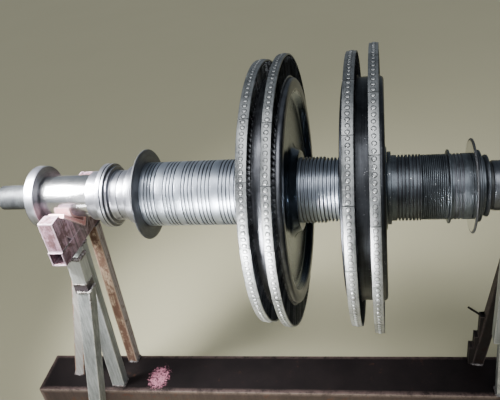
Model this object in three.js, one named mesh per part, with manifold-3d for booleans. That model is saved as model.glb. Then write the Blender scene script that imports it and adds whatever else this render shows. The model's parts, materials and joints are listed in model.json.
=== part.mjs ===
// Steam turbine rotor: a two-wheel rotor with four bladed rows, resting in two trestles on a long base beam.
// Millimetres, +Z up. The rotor axis runs along X at AXIS_HEIGHT, and the floor is Z = 0.
import * as THREE from "three";
import { mergeVertices } from "three/addons/utils/BufferGeometryUtils.js";
import Module from "manifold-3d";

const wasm = await Module();
wasm.setup();

// Driving dimensions, in millimetres.
const AXIS_HEIGHT = 805;
const GAP = 0.3;
const OVERLAP = 1;
const EXTRA_LENGTH = 200;
const FAR = 2000;
const SHAFT_SIDES = 40;
const WHEEL_SIDES = 64;

// Shaft: half length, radii of the stub ends, of the seat under the shrunk-on pieces and of the two journals.
const SHAFT_HALF = 800;
const STUB_R = 34.7;
const SEAT_R = 55.5;
const JOURNAL_LEFT = { start: -652, end: -506.5, r: 58.8 };
const JOURNAL_RIGHT = { start: 519.5, end: 665, r: 59.7 };
const SHOULDER_END = -468;
const SHOULDER_R = 68;

// Thrown rings and collars on the shaft, each as start, end and outer radius along X.
const END_COLLAR_WIDTH = 26.6;
const END_COLLAR_R = 88;
const SLINGER_LEFT = { start: -352, end: -344.5, r: 122 };
const SLINGER_RIGHT = { start: 472.5, end: 479, r: 114 };

// Wheels: the rim's span and radius, the bevel of its right shoulder, the web's depth below the rim's side
// faces, the slope where the web meets rim and hub, and the hub's lip.
const WHEEL_1 = { start: -32.2, end: 66.7, r: 284.5, shoulder: 9 };
const WHEEL_2 = { start: 183.9, end: 277.6, r: 273.5, shoulder: 8 };
const RIM_DEPTH = 30;
const WEB_RECESS = 21;
const HUB_LIP_R = 101.7;
const HUB_RISE = 3;
const WEB_SLOPE = { rim: 12, hub: 14 };
const WHEEL_BORE_EASE = 0.15;

// Bladed rows: the shroud band's span and outer radius, the wheel it stands on and the number of blades.
const ROWS = [
  { start: -21, end: 3.1, r: 333, rim: WHEEL_1.r, blades: 80 },
  { start: 33.6, end: 55.1, r: 342.8, rim: WHEEL_1.r, blades: 72 },
  { start: 194, end: 218, r: 337.1, rim: WHEEL_2.r, blades: 80 },
  { start: 246.5, end: 268, r: 351.5, rim: WHEEL_2.r, blades: 72 },
];
const SHROUD_THICKNESS = 5.5;
const ROOT_THICKNESS = 5;
const BLADE_FILL = 0.42;
const BLADE_INSET = 1;

// Stand: base beam, saddles on square bearers, and angle-section legs.
// The beam lies a little askew to the rotor.
const BEAM = { length: 1786, width: 151.4, height: 110, wall: 8, offset: -2.6, skew: 2.83 };
const SADDLE_WIDTH = 43.5;
const V_PLATE = 12;
const LINER = 12.5;
const LINER_CLEARANCE = 1;
const LINER_OVERHANG = 2;
const POST = { inner: 96, outer: 138, wall: 4 };
const CHEEK = { thickness: 6, cut: 18, cutHeight: 22, bite: 2 };
const BEARER = { half: 143, low: 668, high: 713, wall: 4 };

// The legs of the left trestle. Each angle section follows the line of its ridge from one point to another,
// with its flange sizes along X and Y, its wall, and the sides of the section that the ridge is on.
const LEGS_LEFT = {
  rear: { from: [-576.5, 14, 110], to: [-576.5, 49, 650], size: [32, 32], wall: 4, ridge: [1, -1] },
  front: { from: [-583, -90, 110], to: [-576.5, -50, 650], size: [44, 32], wall: 5, ridge: [1, -1] },
  outer: { from: [-783, -52, 110], to: [-624.8, -38, 650], size: [33, 33], wall: 4, ridge: [-1, -1] },
  propLow: { from: [-639.8, -159.3, 115], to: [-544.4, -102.3, 640], size: [41, 40], wall: 5, ridge: [1, -1] },
  propHigh: { from: [-566.6, -107, 562], to: [-556, -111.2, 667.7], size: [43, 41], wall: 5, ridge: [1, -1] },
};
const PROP_LAP = { low: 533, high: 545 };
const PROP_FOOT = { x: -680, half: 40, front: -196, back: -117, thickness: 8 };

// The right trestle repeats the left one mirrored, apart from its leaning rear leg with stepped foot blocks,
// its front leg of two joined lengths and its straight prop. Its feet follow the beam across by FOOT_SHIFT.
const SADDLE_CENTRE = { left: -598.25, right: 590 };
const FOOT_SHIFT = 59.7;
const REAR_RIGHT = { from: [526, 66, 110], to: [594, 45, 667], size: [32, 32], wall: 4, ridge: [-1, -1] };
const REAR_BLOCKS = [
  { x: [513.5, 534], y: [67, 97], high: 182 },
  { x: [526, 546], y: [67, 97], high: 228 },
  { x: [536.5, 556], y: [67, 91], high: 310 },
];
const FRONT_RIGHT = {
  low: { from: [579, -48, 110], to: [569, -47, 350], size: [30, 30], wall: 5, ridge: [-1, -1] },
  high: { from: [555, -49, 325], to: [555, -49, 667], size: [44, 36], wall: 5, ridge: [-1, -1] },
};
const FRONT_LAP = { low: 325, high: 350 };
const PROP_RIGHT = {
  low: { from: [634.5, -99.6, 115], to: [563.5, -102.3, 640], size: [46.3, 48.3], wall: 5, ridge: [-1, -1] },
  high: { from: [639.8, -94.3, 115], to: [568.8, -97, 640], size: [41, 43], wall: 5, ridge: [-1, -1] },
};

function steel(colour, roughness, metalness) {
  return new THREE.MeshStandardMaterial({ color: colour, roughness, metalness });
}

const POLISHED = steel(0xc9cdd1, 0.18, 1);
const BRIGHT = steel(0x9fa4a8, 0.35, 1);
const BAND = steel(0x85888a, 0.45, 0.9);
const DARK = steel(0x2f3338, 0.45, 0.8);
const BLADE = steel(0x24272b, 0.5, 0.8);
const PRIMER = steel(0x4a2a28, 0.6, 0.1);
const LINING = steel(0xb06a6c, 0.8, 0);
const GREY_STEEL = steel(0x8b8b83, 0.6, 0.5);
const RUSTY = steel(0x8a5a3a, 0.85, 0.3);

function solidOf(geometry) {
  const plain = geometry.clone();
  plain.deleteAttribute("normal");
  plain.deleteAttribute("uv");
  const merged = mergeVertices(plain, 1e-4);
  return new wasm.Manifold(
    new wasm.Mesh({
      numProp: 3,
      vertProperties: new Float32Array(merged.attributes.position.array),
      triVerts: new Uint32Array(merged.index.array),
    }),
  );
}

function geometryOf(solid) {
  const mesh = solid.getMesh();
  const geometry = new THREE.BufferGeometry();
  geometry.setAttribute("position", new THREE.BufferAttribute(mesh.vertProperties, 3));
  geometry.setIndex(new THREE.BufferAttribute(mesh.triVerts, 1));
  geometry.computeVertexNormals();
  return geometry;
}

// A piece turned about the rotor axis from a profile of [x, radius] points, with the metal on the right.
function turned(profile, sides) {
  const points = profile.map(([x, r]) => new THREE.Vector2(r, x));
  const geometry = new THREE.LatheGeometry(points, sides);
  geometry.rotateZ(-Math.PI / 2);
  geometry.translate(0, 0, AXIS_HEIGHT);
  return geometry;
}

// A ring on the shaft: steps is a list of [start, end, outer radius] from left to right.
function ring(steps, bore, sides = SHAFT_SIDES) {
  const outline = [[steps[0][0], bore]];
  for (const [start, end, r] of steps) {
    outline.push([start, r], [end, r]);
  }
  outline.push([steps[steps.length - 1][1], bore], [steps[0][0], bore]);
  return turned(outline, sides);
}

function box(x0, x1, y0, y1, z0, z1) {
  const geometry = new THREE.BoxGeometry(x1 - x0, y1 - y0, z1 - z0);
  geometry.translate((x0 + x1) / 2, (y0 + y1) / 2, (z0 + z1) / 2);
  return solidOf(geometry);
}

// A plate standing across the rotor: its outline is given in Y and Z and it runs from x0 to x1.
function acrossPlate(outline, x0, x1) {
  const shape = new THREE.Shape(outline.map(([y, z]) => new THREE.Vector2(y, z)));
  const geometry = new THREE.ExtrudeGeometry(shape, { depth: x1 - x0, bevelEnabled: false });
  const basis = new THREE.Matrix4().makeBasis(
    new THREE.Vector3(0, 1, 0),
    new THREE.Vector3(0, 0, 1),
    new THREE.Vector3(1, 0, 0),
  );
  geometry.applyMatrix4(basis);
  geometry.translate(x0, 0, 0);
  return solidOf(geometry);
}

// An angle section laid along the line of its ridge and cut level at the two heights.
function angleBar({ from, to, size, wall, ridge }, low, high) {
  const [width, depth] = size;
  const outline = [
    [0, 0],
    [0, -depth],
    [-wall, -depth],
    [-wall, -wall],
    [-width, -wall],
    [-width, 0],
  ];
  const shape = new THREE.Shape(outline.map(([u, v]) => new THREE.Vector2(u * ridge[0], v * ridge[1])));
  const start = new THREE.Vector3(...from);
  const along = new THREE.Vector3(...to).sub(start).normalize();
  start.addScaledVector(along, -EXTRA_LENGTH);
  const depthAll = new THREE.Vector3(...to).distanceTo(start) + EXTRA_LENGTH;
  const geometry = new THREE.ExtrudeGeometry(shape, { depth: depthAll, bevelEnabled: false });
  const u = new THREE.Vector3(1, 0, 0).addScaledVector(along, -along.x).normalize();
  const v = along.clone().cross(u);
  geometry.applyMatrix4(new THREE.Matrix4().makeBasis(u, v, along));
  geometry.translate(start.x, start.y, start.z);
  return solidOf(geometry).intersect(box(-FAR, FAR, -FAR, FAR, low, high));
}

const rotor = new THREE.Group();
rotor.name = "rotor";
const stand = new THREE.Group();
stand.name = "stand";

function add(group, name, geometry, material) {
  const mesh = new THREE.Mesh(geometry, material);
  mesh.name = name;
  group.add(mesh);
}

// Shaft with its shoulder, two journals and stub ends.
add(
  rotor,
  "shaft",
  turned(
    [
      [-SHAFT_HALF, 0],
      [-SHAFT_HALF, STUB_R],
      [JOURNAL_LEFT.start, STUB_R],
      [JOURNAL_LEFT.start, JOURNAL_LEFT.r],
      [JOURNAL_LEFT.end, JOURNAL_LEFT.r],
      [JOURNAL_LEFT.end, SHOULDER_R],
      [SHOULDER_END, SHOULDER_R],
      [SHOULDER_END, SEAT_R],
      [JOURNAL_RIGHT.start, SEAT_R],
      [JOURNAL_RIGHT.start, JOURNAL_RIGHT.r],
      [JOURNAL_RIGHT.end, JOURNAL_RIGHT.r],
      [JOURNAL_RIGHT.end, STUB_R],
      [SHAFT_HALF, STUB_R],
      [SHAFT_HALF, 0],
    ],
    SHAFT_SIDES,
  ),
  POLISHED,
);

// Rings, collars and slinger discs shrunk on the seat.
const BORE = SEAT_R + GAP;
const collarLeft = JOURNAL_LEFT.start - GAP;
const collarRight = JOURNAL_RIGHT.end + GAP;
const RINGS = [
  ["end_collar_left", [[collarLeft - END_COLLAR_WIDTH, collarLeft, END_COLLAR_R]], STUB_R + GAP, BRIGHT],
  ["seal_ring_left", [[SHOULDER_END + GAP, -446.2, 87.7]], BORE, BRIGHT],
  ["oil_ring_left", [[-445.9, -438.6, 80.2], [-438.6, -391.5, 68.3]], BORE, BRIGHT],
  ["spacer_ring_left", [[-391.2, -371.2, 78.8], [-371.2, SLINGER_LEFT.start - GAP, 68.3]], BORE, BRIGHT],
  ["slinger_left", [[SLINGER_LEFT.start, SLINGER_LEFT.end, SLINGER_LEFT.r]], BORE, DARK],
  ["slinger_right", [[SLINGER_RIGHT.start, SLINGER_RIGHT.end, SLINGER_RIGHT.r]], BORE, DARK],
  ["thrust_ring_right", [[SLINGER_RIGHT.end + GAP, 492.7, 86], [492.7, 499.7, 70]], BORE, DARK],
  ["oil_ring_right", [[500, 510, 73.8]], BORE, DARK],
  ["end_collar_right", [[collarRight, collarRight + END_COLLAR_WIDTH, END_COLLAR_R]], STUB_R + GAP, DARK],
];
for (const [name, steps, bore, material] of RINGS) {
  add(rotor, name, ring(steps, bore), material);
}

// Gland sleeves: each bank of sealing grooves is turned as one wide recess.
const hub1 = { start: WHEEL_1.start - HUB_RISE, end: WHEEL_1.end + HUB_RISE };
const hub2 = { start: WHEEL_2.start - HUB_RISE, end: WHEEL_2.end + HUB_RISE };
add(
  rotor,
  "gland_sleeve_left",
  ring(
    [
      [SLINGER_LEFT.end + GAP, -331.3, 86.2],
      [-331.3, -301.8, 82.8],
      [-301.8, -276.4, 86.2],
      [-276.4, -249, 82.8],
      [-249, -227.7, 85.9],
      [-227.7, -199.3, 82.8],
      [-199.3, -129.5, 85.7],
      [-129.5, -89.2, 82.8],
      [-89.2, hub1.start - GAP, 85],
    ],
    BORE,
  ),
  BRIGHT,
);
add(
  rotor,
  "gland_sleeve_middle",
  ring(
    [
      [hub1.end + GAP, 136.4, 84.1],
      [136.4, hub2.start - GAP, 81],
    ],
    BORE,
  ),
  BRIGHT,
);
add(
  rotor,
  "gland_sleeve_right",
  ring(
    [
      [hub2.end + GAP, 290.2, 90],
      [290.2, 359, 80.9],
      [359, 418.6, 79.5],
      [418.6, 425.5, 89.5],
      [425.5, SLINGER_RIGHT.start - GAP, 80.9],
    ],
    BORE,
  ),
  DARK,
);

// Wheels, with a dished web on both sides between the rim and the hub.
function wheel(span, hub) {
  const webOuter = span.r - RIM_DEPTH;
  const webInner = HUB_LIP_R + WEB_SLOPE.hub;
  const bore = BORE + WHEEL_BORE_EASE;
  return turned(
    [
      [hub.start, bore],
      [hub.start, HUB_LIP_R],
      [span.start + WEB_RECESS, webInner],
      [span.start + WEB_RECESS, webOuter - WEB_SLOPE.rim],
      [span.start, webOuter],
      [span.start, span.r],
      [span.end - span.shoulder, span.r],
      [span.end, span.r - span.shoulder],
      [span.end, webOuter],
      [span.end - WEB_RECESS, webOuter - WEB_SLOPE.rim],
      [span.end - WEB_RECESS, webInner],
      [hub.end, HUB_LIP_R],
      [hub.end, bore],
      [hub.start, bore],
    ],
    WHEEL_SIDES,
  );
}
add(rotor, "wheel_1", wheel(WHEEL_1, hub1), DARK);
add(rotor, "wheel_2", wheel(WHEEL_2, hub2), DARK);

// A row of blades standing on one root ring.
function bladeRow({ start, end, r, rim, blades }) {
  const rootR = rim + ROOT_THICKNESS;
  const tipR = (r - SHROUD_THICKNESS) * Math.cos(Math.PI / WHEEL_SIDES) - GAP;
  const pitch = (2 * Math.PI) / blades;
  const outline = [];
  for (let i = 0; i < blades; i += 1) {
    const at = i * pitch;
    const half = (pitch * BLADE_FILL) / 2;
    const tipHalf = (half * rootR) / tipR;
    outline.push([rootR, at - half], [tipR, at - tipHalf], [tipR, at + tipHalf], [rootR, at + half]);
  }
  const shape = new THREE.Shape(
    outline.map(([radius, a]) => new THREE.Vector2(radius * Math.cos(a), radius * Math.sin(a))),
  );
  const hole = [];
  for (let i = 0; i < WHEEL_SIDES; i += 1) {
    const a = (2 * Math.PI * i) / WHEEL_SIDES;
    hole.push(new THREE.Vector2((rim + GAP) * Math.cos(a), (rim + GAP) * Math.sin(a)));
  }
  shape.holes.push(new THREE.Path(hole));
  const depth = end - start - 2 * BLADE_INSET;
  const geometry = new THREE.ExtrudeGeometry(shape, { depth, bevelEnabled: false });
  geometry.rotateY(Math.PI / 2);
  geometry.translate(start + BLADE_INSET, 0, AXIS_HEIGHT);
  return geometry;
}
ROWS.forEach((row, i) => {
  add(rotor, `blade_row_${i + 1}`, bladeRow(row), BLADE);
  const band = [[row.start, row.end, row.r]];
  add(rotor, `shroud_band_${i + 1}`, ring(band, row.r - SHROUD_THICKNESS, WHEEL_SIDES), BAND);
});

// Base beam: a rectangular hollow section with open ends, on the floor.
function baseBeam() {
  const w = BEAM.width / 2;
  const outer = new THREE.Shape([
    new THREE.Vector2(-w, 0),
    new THREE.Vector2(w, 0),
    new THREE.Vector2(w, BEAM.height),
    new THREE.Vector2(-w, BEAM.height),
  ]);
  const t = BEAM.wall;
  outer.holes.push(
    new THREE.Path([
      new THREE.Vector2(-w + t, t),
      new THREE.Vector2(w - t, t),
      new THREE.Vector2(w - t, BEAM.height - t),
      new THREE.Vector2(-w + t, BEAM.height - t),
    ]),
  );
  const geometry = new THREE.ExtrudeGeometry(outer, { depth: BEAM.length, bevelEnabled: false });
  geometry.applyMatrix4(
    new THREE.Matrix4().makeBasis(
      new THREE.Vector3(0, 1, 0),
      new THREE.Vector3(0, 0, 1),
      new THREE.Vector3(1, 0, 0),
    ),
  );
  geometry.translate(-BEAM.length / 2, 0, 0);
  geometry.rotateZ(THREE.MathUtils.degToRad(BEAM.skew));
  geometry.translate(0, BEAM.offset, 0);
  return geometry;
}
add(stand, "base_beam", baseBeam(), PRIMER);

// A saddle: a lined V between two posts, which stand on one square bearer that lies across the rotor.
function saddle(label, centre, journalR) {
  const faceR = journalR + LINER_CLEARANCE + LINER;
  const apex = AXIS_HEIGHT - faceR * Math.SQRT2;
  const outerApex = apex - V_PLATE * Math.SQRT2;
  const [low, high] = [centre - SADDLE_WIDTH / 2, centre + SADDLE_WIDTH / 2];
  const reach = POST.inner + OVERLAP;
  const foot = BEARER.high + GAP;
  let body = acrossPlate(
    [
      [0, outerApex],
      [reach, outerApex + reach],
      [reach, apex + reach],
      [0, apex],
      [-reach, apex + reach],
      [-reach, outerApex + reach],
    ],
    low,
    high,
  );
  for (const sign of [-1, 1]) {
    const across = (a, b) => [Math.min(sign * a, sign * b), Math.max(sign * a, sign * b)];
    const post = box(low, high, ...across(POST.inner, POST.outer), foot, AXIS_HEIGHT);
    const hollow = across(POST.inner + POST.wall, POST.outer - POST.wall);
    const inside = box(low + POST.wall, high - POST.wall, ...hollow, foot - OVERLAP, AXIS_HEIGHT - POST.wall);
    body = body.add(post.subtract(inside));
    const cheek = [
      [sign * (foot - outerApex - CHEEK.bite), foot],
      [sign * (reach - CHEEK.cut), foot],
      [sign * reach, foot + CHEEK.cutHeight],
      [sign * reach, outerApex + reach + CHEEK.bite],
    ];
    if (sign < 0) {
      cheek.reverse();
    }
    body = body.add(acrossPlate(cheek, low, low + CHEEK.thickness));
    body = body.add(acrossPlate(cheek, high - CHEEK.thickness, high));
  }
  add(stand, `saddle_${label}`, geometryOf(body), PRIMER);

  // The lining is a bent strip that follows the V.
  const innerApex = AXIS_HEIGHT - (journalR + LINER_CLEARANCE) * Math.SQRT2;
  const strip = POST.inner - LINER;
  const lift = LINER / Math.SQRT2;
  const bottom = apex + GAP * Math.SQRT2;
  const liner = acrossPlate(
    [
      [0, bottom],
      [strip, bottom + strip],
      [strip - lift, bottom + strip + lift],
      [0, innerApex],
      [lift - strip, bottom + strip + lift],
      [-strip, bottom + strip],
    ],
    low - LINER_OVERHANG,
    high + LINER_OVERHANG,
  );
  add(stand, `saddle_liner_${label}`, geometryOf(liner), LINING);

  // The bearer is a square tube, notched on top for the V.
  const t = BEARER.wall;
  const tube = box(low, high, -BEARER.half, BEARER.half, BEARER.low, BEARER.high);
  const end = BEARER.half + OVERLAP;
  const bore = box(low + t, high - t, -end, end, BEARER.low + t, BEARER.high - t);
  const notchApex = outerApex - GAP * Math.SQRT2;
  const notchTop = BEARER.high + OVERLAP;
  const notchHalf = notchTop - notchApex;
  const notch = acrossPlate(
    [
      [0, notchApex],
      [notchHalf, notchTop],
      [-notchHalf, notchTop],
    ],
    low - OVERLAP,
    high + OVERLAP,
  );
  add(stand, `bearer_${label}`, geometryOf(tube.subtract(bore).subtract(notch)), PRIMER);
}
saddle("left", SADDLE_CENTRE.left, JOURNAL_LEFT.r);
saddle("right", SADDLE_CENTRE.right, JOURNAL_RIGHT.r);

// Legs stand on the beam and end under the bearer. The prop's two lapped lengths pass in front of the beam.
const UNDER_BEARER = BEARER.low - GAP;
const ON_BEAM = BEAM.height + GAP;

function mirrored({ from, to, size, wall, ridge }) {
  const across = (x) => SADDLE_CENTRE.left + SADDLE_CENTRE.right - x;
  return {
    from: [across(from[0]), from[1] + FOOT_SHIFT, from[2]],
    to: [across(to[0]), to[1], to[2]],
    size,
    wall,
    ridge: [-ridge[0], ridge[1]],
  };
}

function prop(label, low, high, footX, shift) {
  const plate = PROP_FOOT.thickness;
  add(stand, `prop_upper_${label}`, geometryOf(angleBar(high, PROP_LAP.low, UNDER_BEARER)), GREY_STEEL);
  add(stand, `prop_lower_${label}`, geometryOf(angleBar(low, plate + GAP, PROP_LAP.high)), GREY_STEEL);
  const [front, back] = [PROP_FOOT.front + shift, PROP_FOOT.back + shift];
  const foot = box(footX - PROP_FOOT.half, footX + PROP_FOOT.half, front, back, 0, plate);
  add(stand, `prop_foot_${label}`, geometryOf(foot), PRIMER);
}

add(stand, "rear_leg_left", geometryOf(angleBar(LEGS_LEFT.rear, ON_BEAM, UNDER_BEARER)), RUSTY);
add(stand, "front_leg_left", geometryOf(angleBar(LEGS_LEFT.front, ON_BEAM, UNDER_BEARER)), GREY_STEEL);
add(stand, "outer_leg_left", geometryOf(angleBar(LEGS_LEFT.outer, ON_BEAM, UNDER_BEARER)), GREY_STEEL);
prop("left", LEGS_LEFT.propLow, LEGS_LEFT.propHigh, PROP_FOOT.x, 0);

let rearRight = angleBar(REAR_RIGHT, ON_BEAM, UNDER_BEARER);
for (const block of REAR_BLOCKS) {
  rearRight = rearRight.add(box(...block.x, ...block.y, ON_BEAM, block.high));
}
add(stand, "rear_leg_right", geometryOf(rearRight), RUSTY);
const frontRight = angleBar(FRONT_RIGHT.low, ON_BEAM, FRONT_LAP.high).add(
  angleBar(FRONT_RIGHT.high, FRONT_LAP.low, UNDER_BEARER),
);
add(stand, "front_leg_right", geometryOf(frontRight), GREY_STEEL);
const outerRight = angleBar(mirrored(LEGS_LEFT.outer), ON_BEAM, UNDER_BEARER);
add(stand, "outer_leg_right", geometryOf(outerRight), GREY_STEEL);
const propRightX = SADDLE_CENTRE.left + SADDLE_CENTRE.right - PROP_FOOT.x;
prop("right", PROP_RIGHT.low, PROP_RIGHT.high, propRightX, FOOT_SHIFT);

const root = new THREE.Group();
root.name = "steam_turbine_rotor";
root.add(rotor, stand);

export default root;
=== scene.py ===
"""Looks of a two-wheel steam turbine rotor that rests in two welded trestles on a long base beam.

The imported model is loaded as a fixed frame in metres, with the rotor axis along X. Each sub-assembly below is
a class that builds its fine meshes over the frame's nodes and dresses them with procedural finishes. Profiles
are written in millimetres, as on a workshop drawing, and turned into metres when a mesh is made.
"""

import json
import logging
import math
import random
from abc import ABC, abstractmethod
from dataclasses import dataclass, field
from enum import Enum
from typing import Callable, Iterable, Optional, Sequence, Union

import bmesh
import bpy
from mathutils import Matrix, Vector


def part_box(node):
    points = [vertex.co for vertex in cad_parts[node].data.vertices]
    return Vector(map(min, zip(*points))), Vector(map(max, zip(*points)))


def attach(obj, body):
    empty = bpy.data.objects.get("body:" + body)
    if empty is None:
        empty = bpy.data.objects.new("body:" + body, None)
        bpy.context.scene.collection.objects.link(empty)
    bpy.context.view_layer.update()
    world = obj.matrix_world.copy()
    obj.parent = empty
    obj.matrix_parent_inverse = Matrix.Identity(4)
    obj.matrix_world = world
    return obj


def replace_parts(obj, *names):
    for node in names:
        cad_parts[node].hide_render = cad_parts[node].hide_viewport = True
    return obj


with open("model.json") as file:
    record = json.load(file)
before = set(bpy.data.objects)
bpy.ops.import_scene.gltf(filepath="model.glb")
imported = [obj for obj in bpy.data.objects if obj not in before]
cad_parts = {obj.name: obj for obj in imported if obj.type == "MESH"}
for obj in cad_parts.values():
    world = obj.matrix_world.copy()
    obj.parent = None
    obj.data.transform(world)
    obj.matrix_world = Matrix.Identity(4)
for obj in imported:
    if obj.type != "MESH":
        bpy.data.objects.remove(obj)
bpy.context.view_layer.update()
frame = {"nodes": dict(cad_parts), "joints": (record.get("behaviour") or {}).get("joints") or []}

log = logging.getLogger("rotor")

MM = 0.001
AXIS_Z = frame["joints"][0]["pos_m"][2]
FULL_TURN = 2 * math.pi
SHRINK_BORE = 55.8
BEAM_TOP_HEIGHT = 110.0
BEARER_UNDERSIDE = 668.0

Number = Union["Wire", float]
Colour = tuple[float, float, float]
Point = tuple[float, float, float]
Face = Sequence[int]


class Body(Enum):
    """The two bodies of the frame."""

    ROTOR = "rotor"
    STAND = "stand"


class Slot(Enum):
    """The record's material slots."""

    POLISHED = "polished_steel"
    TURNED = "turned_steel"
    DARK = "dark_steel"
    BLADE = "blade_steel"
    BAND = "band_steel"
    PRIMER = "red_primer"
    LINING = "saddle_lining"
    GREY = "grey_steel"
    RUSTY = "rusty_steel"


class Wire:
    """An output socket of a finish graph, with arithmetic that adds Math nodes."""

    def __init__(self, graph: "Graph", socket: bpy.types.NodeSocket) -> None:
        """Wrap one output socket of a graph."""
        self.graph = graph
        self.socket = socket

    def _math(self, operation: str, first: Number, second: Number = 0.0) -> "Wire":
        """Add one Math node over two values."""
        return self.graph.node("ShaderNodeMath", {"operation": operation}, {0: first, 1: second})

    def __add__(self, other: Number) -> "Wire":
        """Add."""
        return self._math("ADD", self, other)

    def __radd__(self, other: Number) -> "Wire":
        """Add to a plain number."""
        return self._math("ADD", other, self)

    def __sub__(self, other: Number) -> "Wire":
        """Subtract."""
        return self._math("SUBTRACT", self, other)

    def __rsub__(self, other: Number) -> "Wire":
        """Subtract from a plain number."""
        return self._math("SUBTRACT", other, self)

    def __mul__(self, other: Number) -> "Wire":
        """Multiply."""
        return self._math("MULTIPLY", self, other)

    def __rmul__(self, other: Number) -> "Wire":
        """Multiply a plain number."""
        return self._math("MULTIPLY", other, self)

    def __truediv__(self, other: Number) -> "Wire":
        """Divide."""
        return self._math("DIVIDE", self, other)

    def __rtruediv__(self, other: Number) -> "Wire":
        """Divide a plain number."""
        return self._math("DIVIDE", other, self)

    def root(self) -> "Wire":
        """Give the square root."""
        return self._math("SQRT", self)

    def least(self, other: Number) -> "Wire":
        """Give the smaller of two values."""
        return self._math("MINIMUM", self, other)

    def most(self, other: Number) -> "Wire":
        """Give the larger of two values."""
        return self._math("MAXIMUM", self, other)

    def rise(self, low: float, high: float) -> "Wire":
        """Go smoothly from 0 at low to 1 at high, or down from 1 to 0 where low is above high."""
        inputs = {"Value": self, "From Min": low, "From Max": high}
        return self.graph.node("ShaderNodeMapRange", {"interpolation_type": "SMOOTHSTEP"}, inputs)


class Graph:
    """The node graph of one finish, ending in a Principled shader."""

    def __init__(self, name: str) -> None:
        """Make an empty material with its shader and output.

        Args:
            name: the material's name.
        """
        self.material = bpy.data.materials.new(name)
        self.material.use_nodes = True
        self.tree = self.material.node_tree
        self.tree.nodes.clear()
        self.shader = self.tree.nodes.new("ShaderNodeBsdfPrincipled")
        output = self.tree.nodes.new("ShaderNodeOutputMaterial")
        self.tree.links.new(self.shader.outputs[0], output.inputs["Surface"])

    def node(
        self,
        kind: str,
        settings: Optional[dict] = None,
        inputs: Optional[dict] = None,
        output: Union[int, str] = 0,
    ) -> Wire:
        """Add one node.

        Args:
            kind: the node's type.
            settings: the node's own options, set before its sockets.
            inputs: values or wires by socket name or number.
            output: the output socket that the wire comes from.

        Returns:
            The wire of that output.
        """
        made = self.tree.nodes.new(kind)
        for key, value in (settings or {}).items():
            setattr(made, key, value)
        for key, value in (inputs or {}).items():
            self._feed(made.inputs[key], value)
        return Wire(self, made.outputs[output])

    def _feed(self, socket: bpy.types.NodeSocket, value: Union[Number, Colour]) -> None:
        """Link a wire to a socket, or set a plain value on it.

        Args:
            socket: the socket to feed.
            value: a wire, a number or a colour.
        """
        if isinstance(value, Wire):
            self.tree.links.new(value.socket, socket)
        elif isinstance(value, tuple) and socket.type == "RGBA":
            socket.default_value = (*value, 1.0)
        else:
            socket.default_value = value

    def set(self, **sockets: Union[Number, Colour]) -> "Graph":
        """Set or link the shader's sockets.

        Args:
            sockets: values or wires by socket name, with underscores for spaces.

        Returns:
            The graph itself.
        """
        for name, value in sockets.items():
            self._feed(self.shader.inputs[name.replace("_", " ")], value)
        return self

    def place(self) -> Wire:
        """Give the point on the piece, in metres, in the frame at rest."""
        return self.node("ShaderNodeTexCoord", output="Object")

    def split(self, vector: Wire) -> tuple[Wire, Wire, Wire]:
        """Give a vector's three parts."""
        outputs = self.node("ShaderNodeSeparateXYZ", inputs={0: vector}).socket.node.outputs
        return Wire(self, outputs[0]), Wire(self, outputs[1]), Wire(self, outputs[2])

    def about_axis(self, place: Wire) -> tuple[Wire, Wire, Wire, Wire]:
        """Measure a point from the rotor's axis.

        Args:
            place: the point.

        Returns:
            Its place along the axis, its radius, and the two parts of its direction out from the axis.
        """
        x, y, z = self.split(place)
        height = z - AXIS_Z
        radius = (y * y + height * height).root()
        return x, radius, y / radius, height / radius

    def join(self, x: Number, y: Number, z: Number) -> Wire:
        """Make a vector of three values."""
        return self.node("ShaderNodeCombineXYZ", inputs={0: x, 1: y, 2: z})

    def noise(self, at: Wire, scale: float, detail: float = 3.0, rough: float = 0.55) -> Wire:
        """Give a noise value round 0.5 at a point."""
        inputs = {"Vector": at, "Scale": scale, "Detail": detail, "Roughness": rough}
        return self.node("ShaderNodeTexNoise", inputs=inputs)

    def cells(self, at: Wire, scale: float) -> Wire:
        """Give the distance to the nearest of many scattered points."""
        return self.node("ShaderNodeTexVoronoi", inputs={"Vector": at, "Scale": scale})

    def blend(self, first: Union[Wire, Colour], second: Union[Wire, Colour], share: Number) -> Wire:
        """Mix two colours: all first at 0, all second at 1."""
        settings = {"data_type": "RGBA", "clamp_factor": True}
        return self.node("ShaderNodeMix", settings, {0: share, 6: first, 7: second}, output=2)

    def own(self, name: str) -> Wire:
        """Give a value that the mesh holds at its points."""
        settings = {"attribute_name": name, "attribute_type": "GEOMETRY"}
        return self.node("ShaderNodeAttribute", settings, output="Fac")

    def bump(self, height: Wire, strength: float, distance: float) -> Wire:
        """Make a bumped normal from a height."""
        inputs = {"Height": height, "Strength": strength, "Distance": distance}
        return self.node("ShaderNodeBump", inputs=inputs, output="Normal")


@dataclass(frozen=True)
class Finish(ABC):
    """A surface finish. Its material is made once and shared."""

    name: str
    slot: Slot

    def material(self) -> bpy.types.Material:
        """Give the finish's material."""
        name = f"look_{self.name}"
        return bpy.data.materials.get(name) or self.dress(Graph(name)).material

    @abstractmethod
    def dress(self, graph: Graph) -> Graph:
        """Fill the finish's graph.

        Args:
            graph: the new graph of the finish.

        Returns:
            The same graph, filled.
        """


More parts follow.
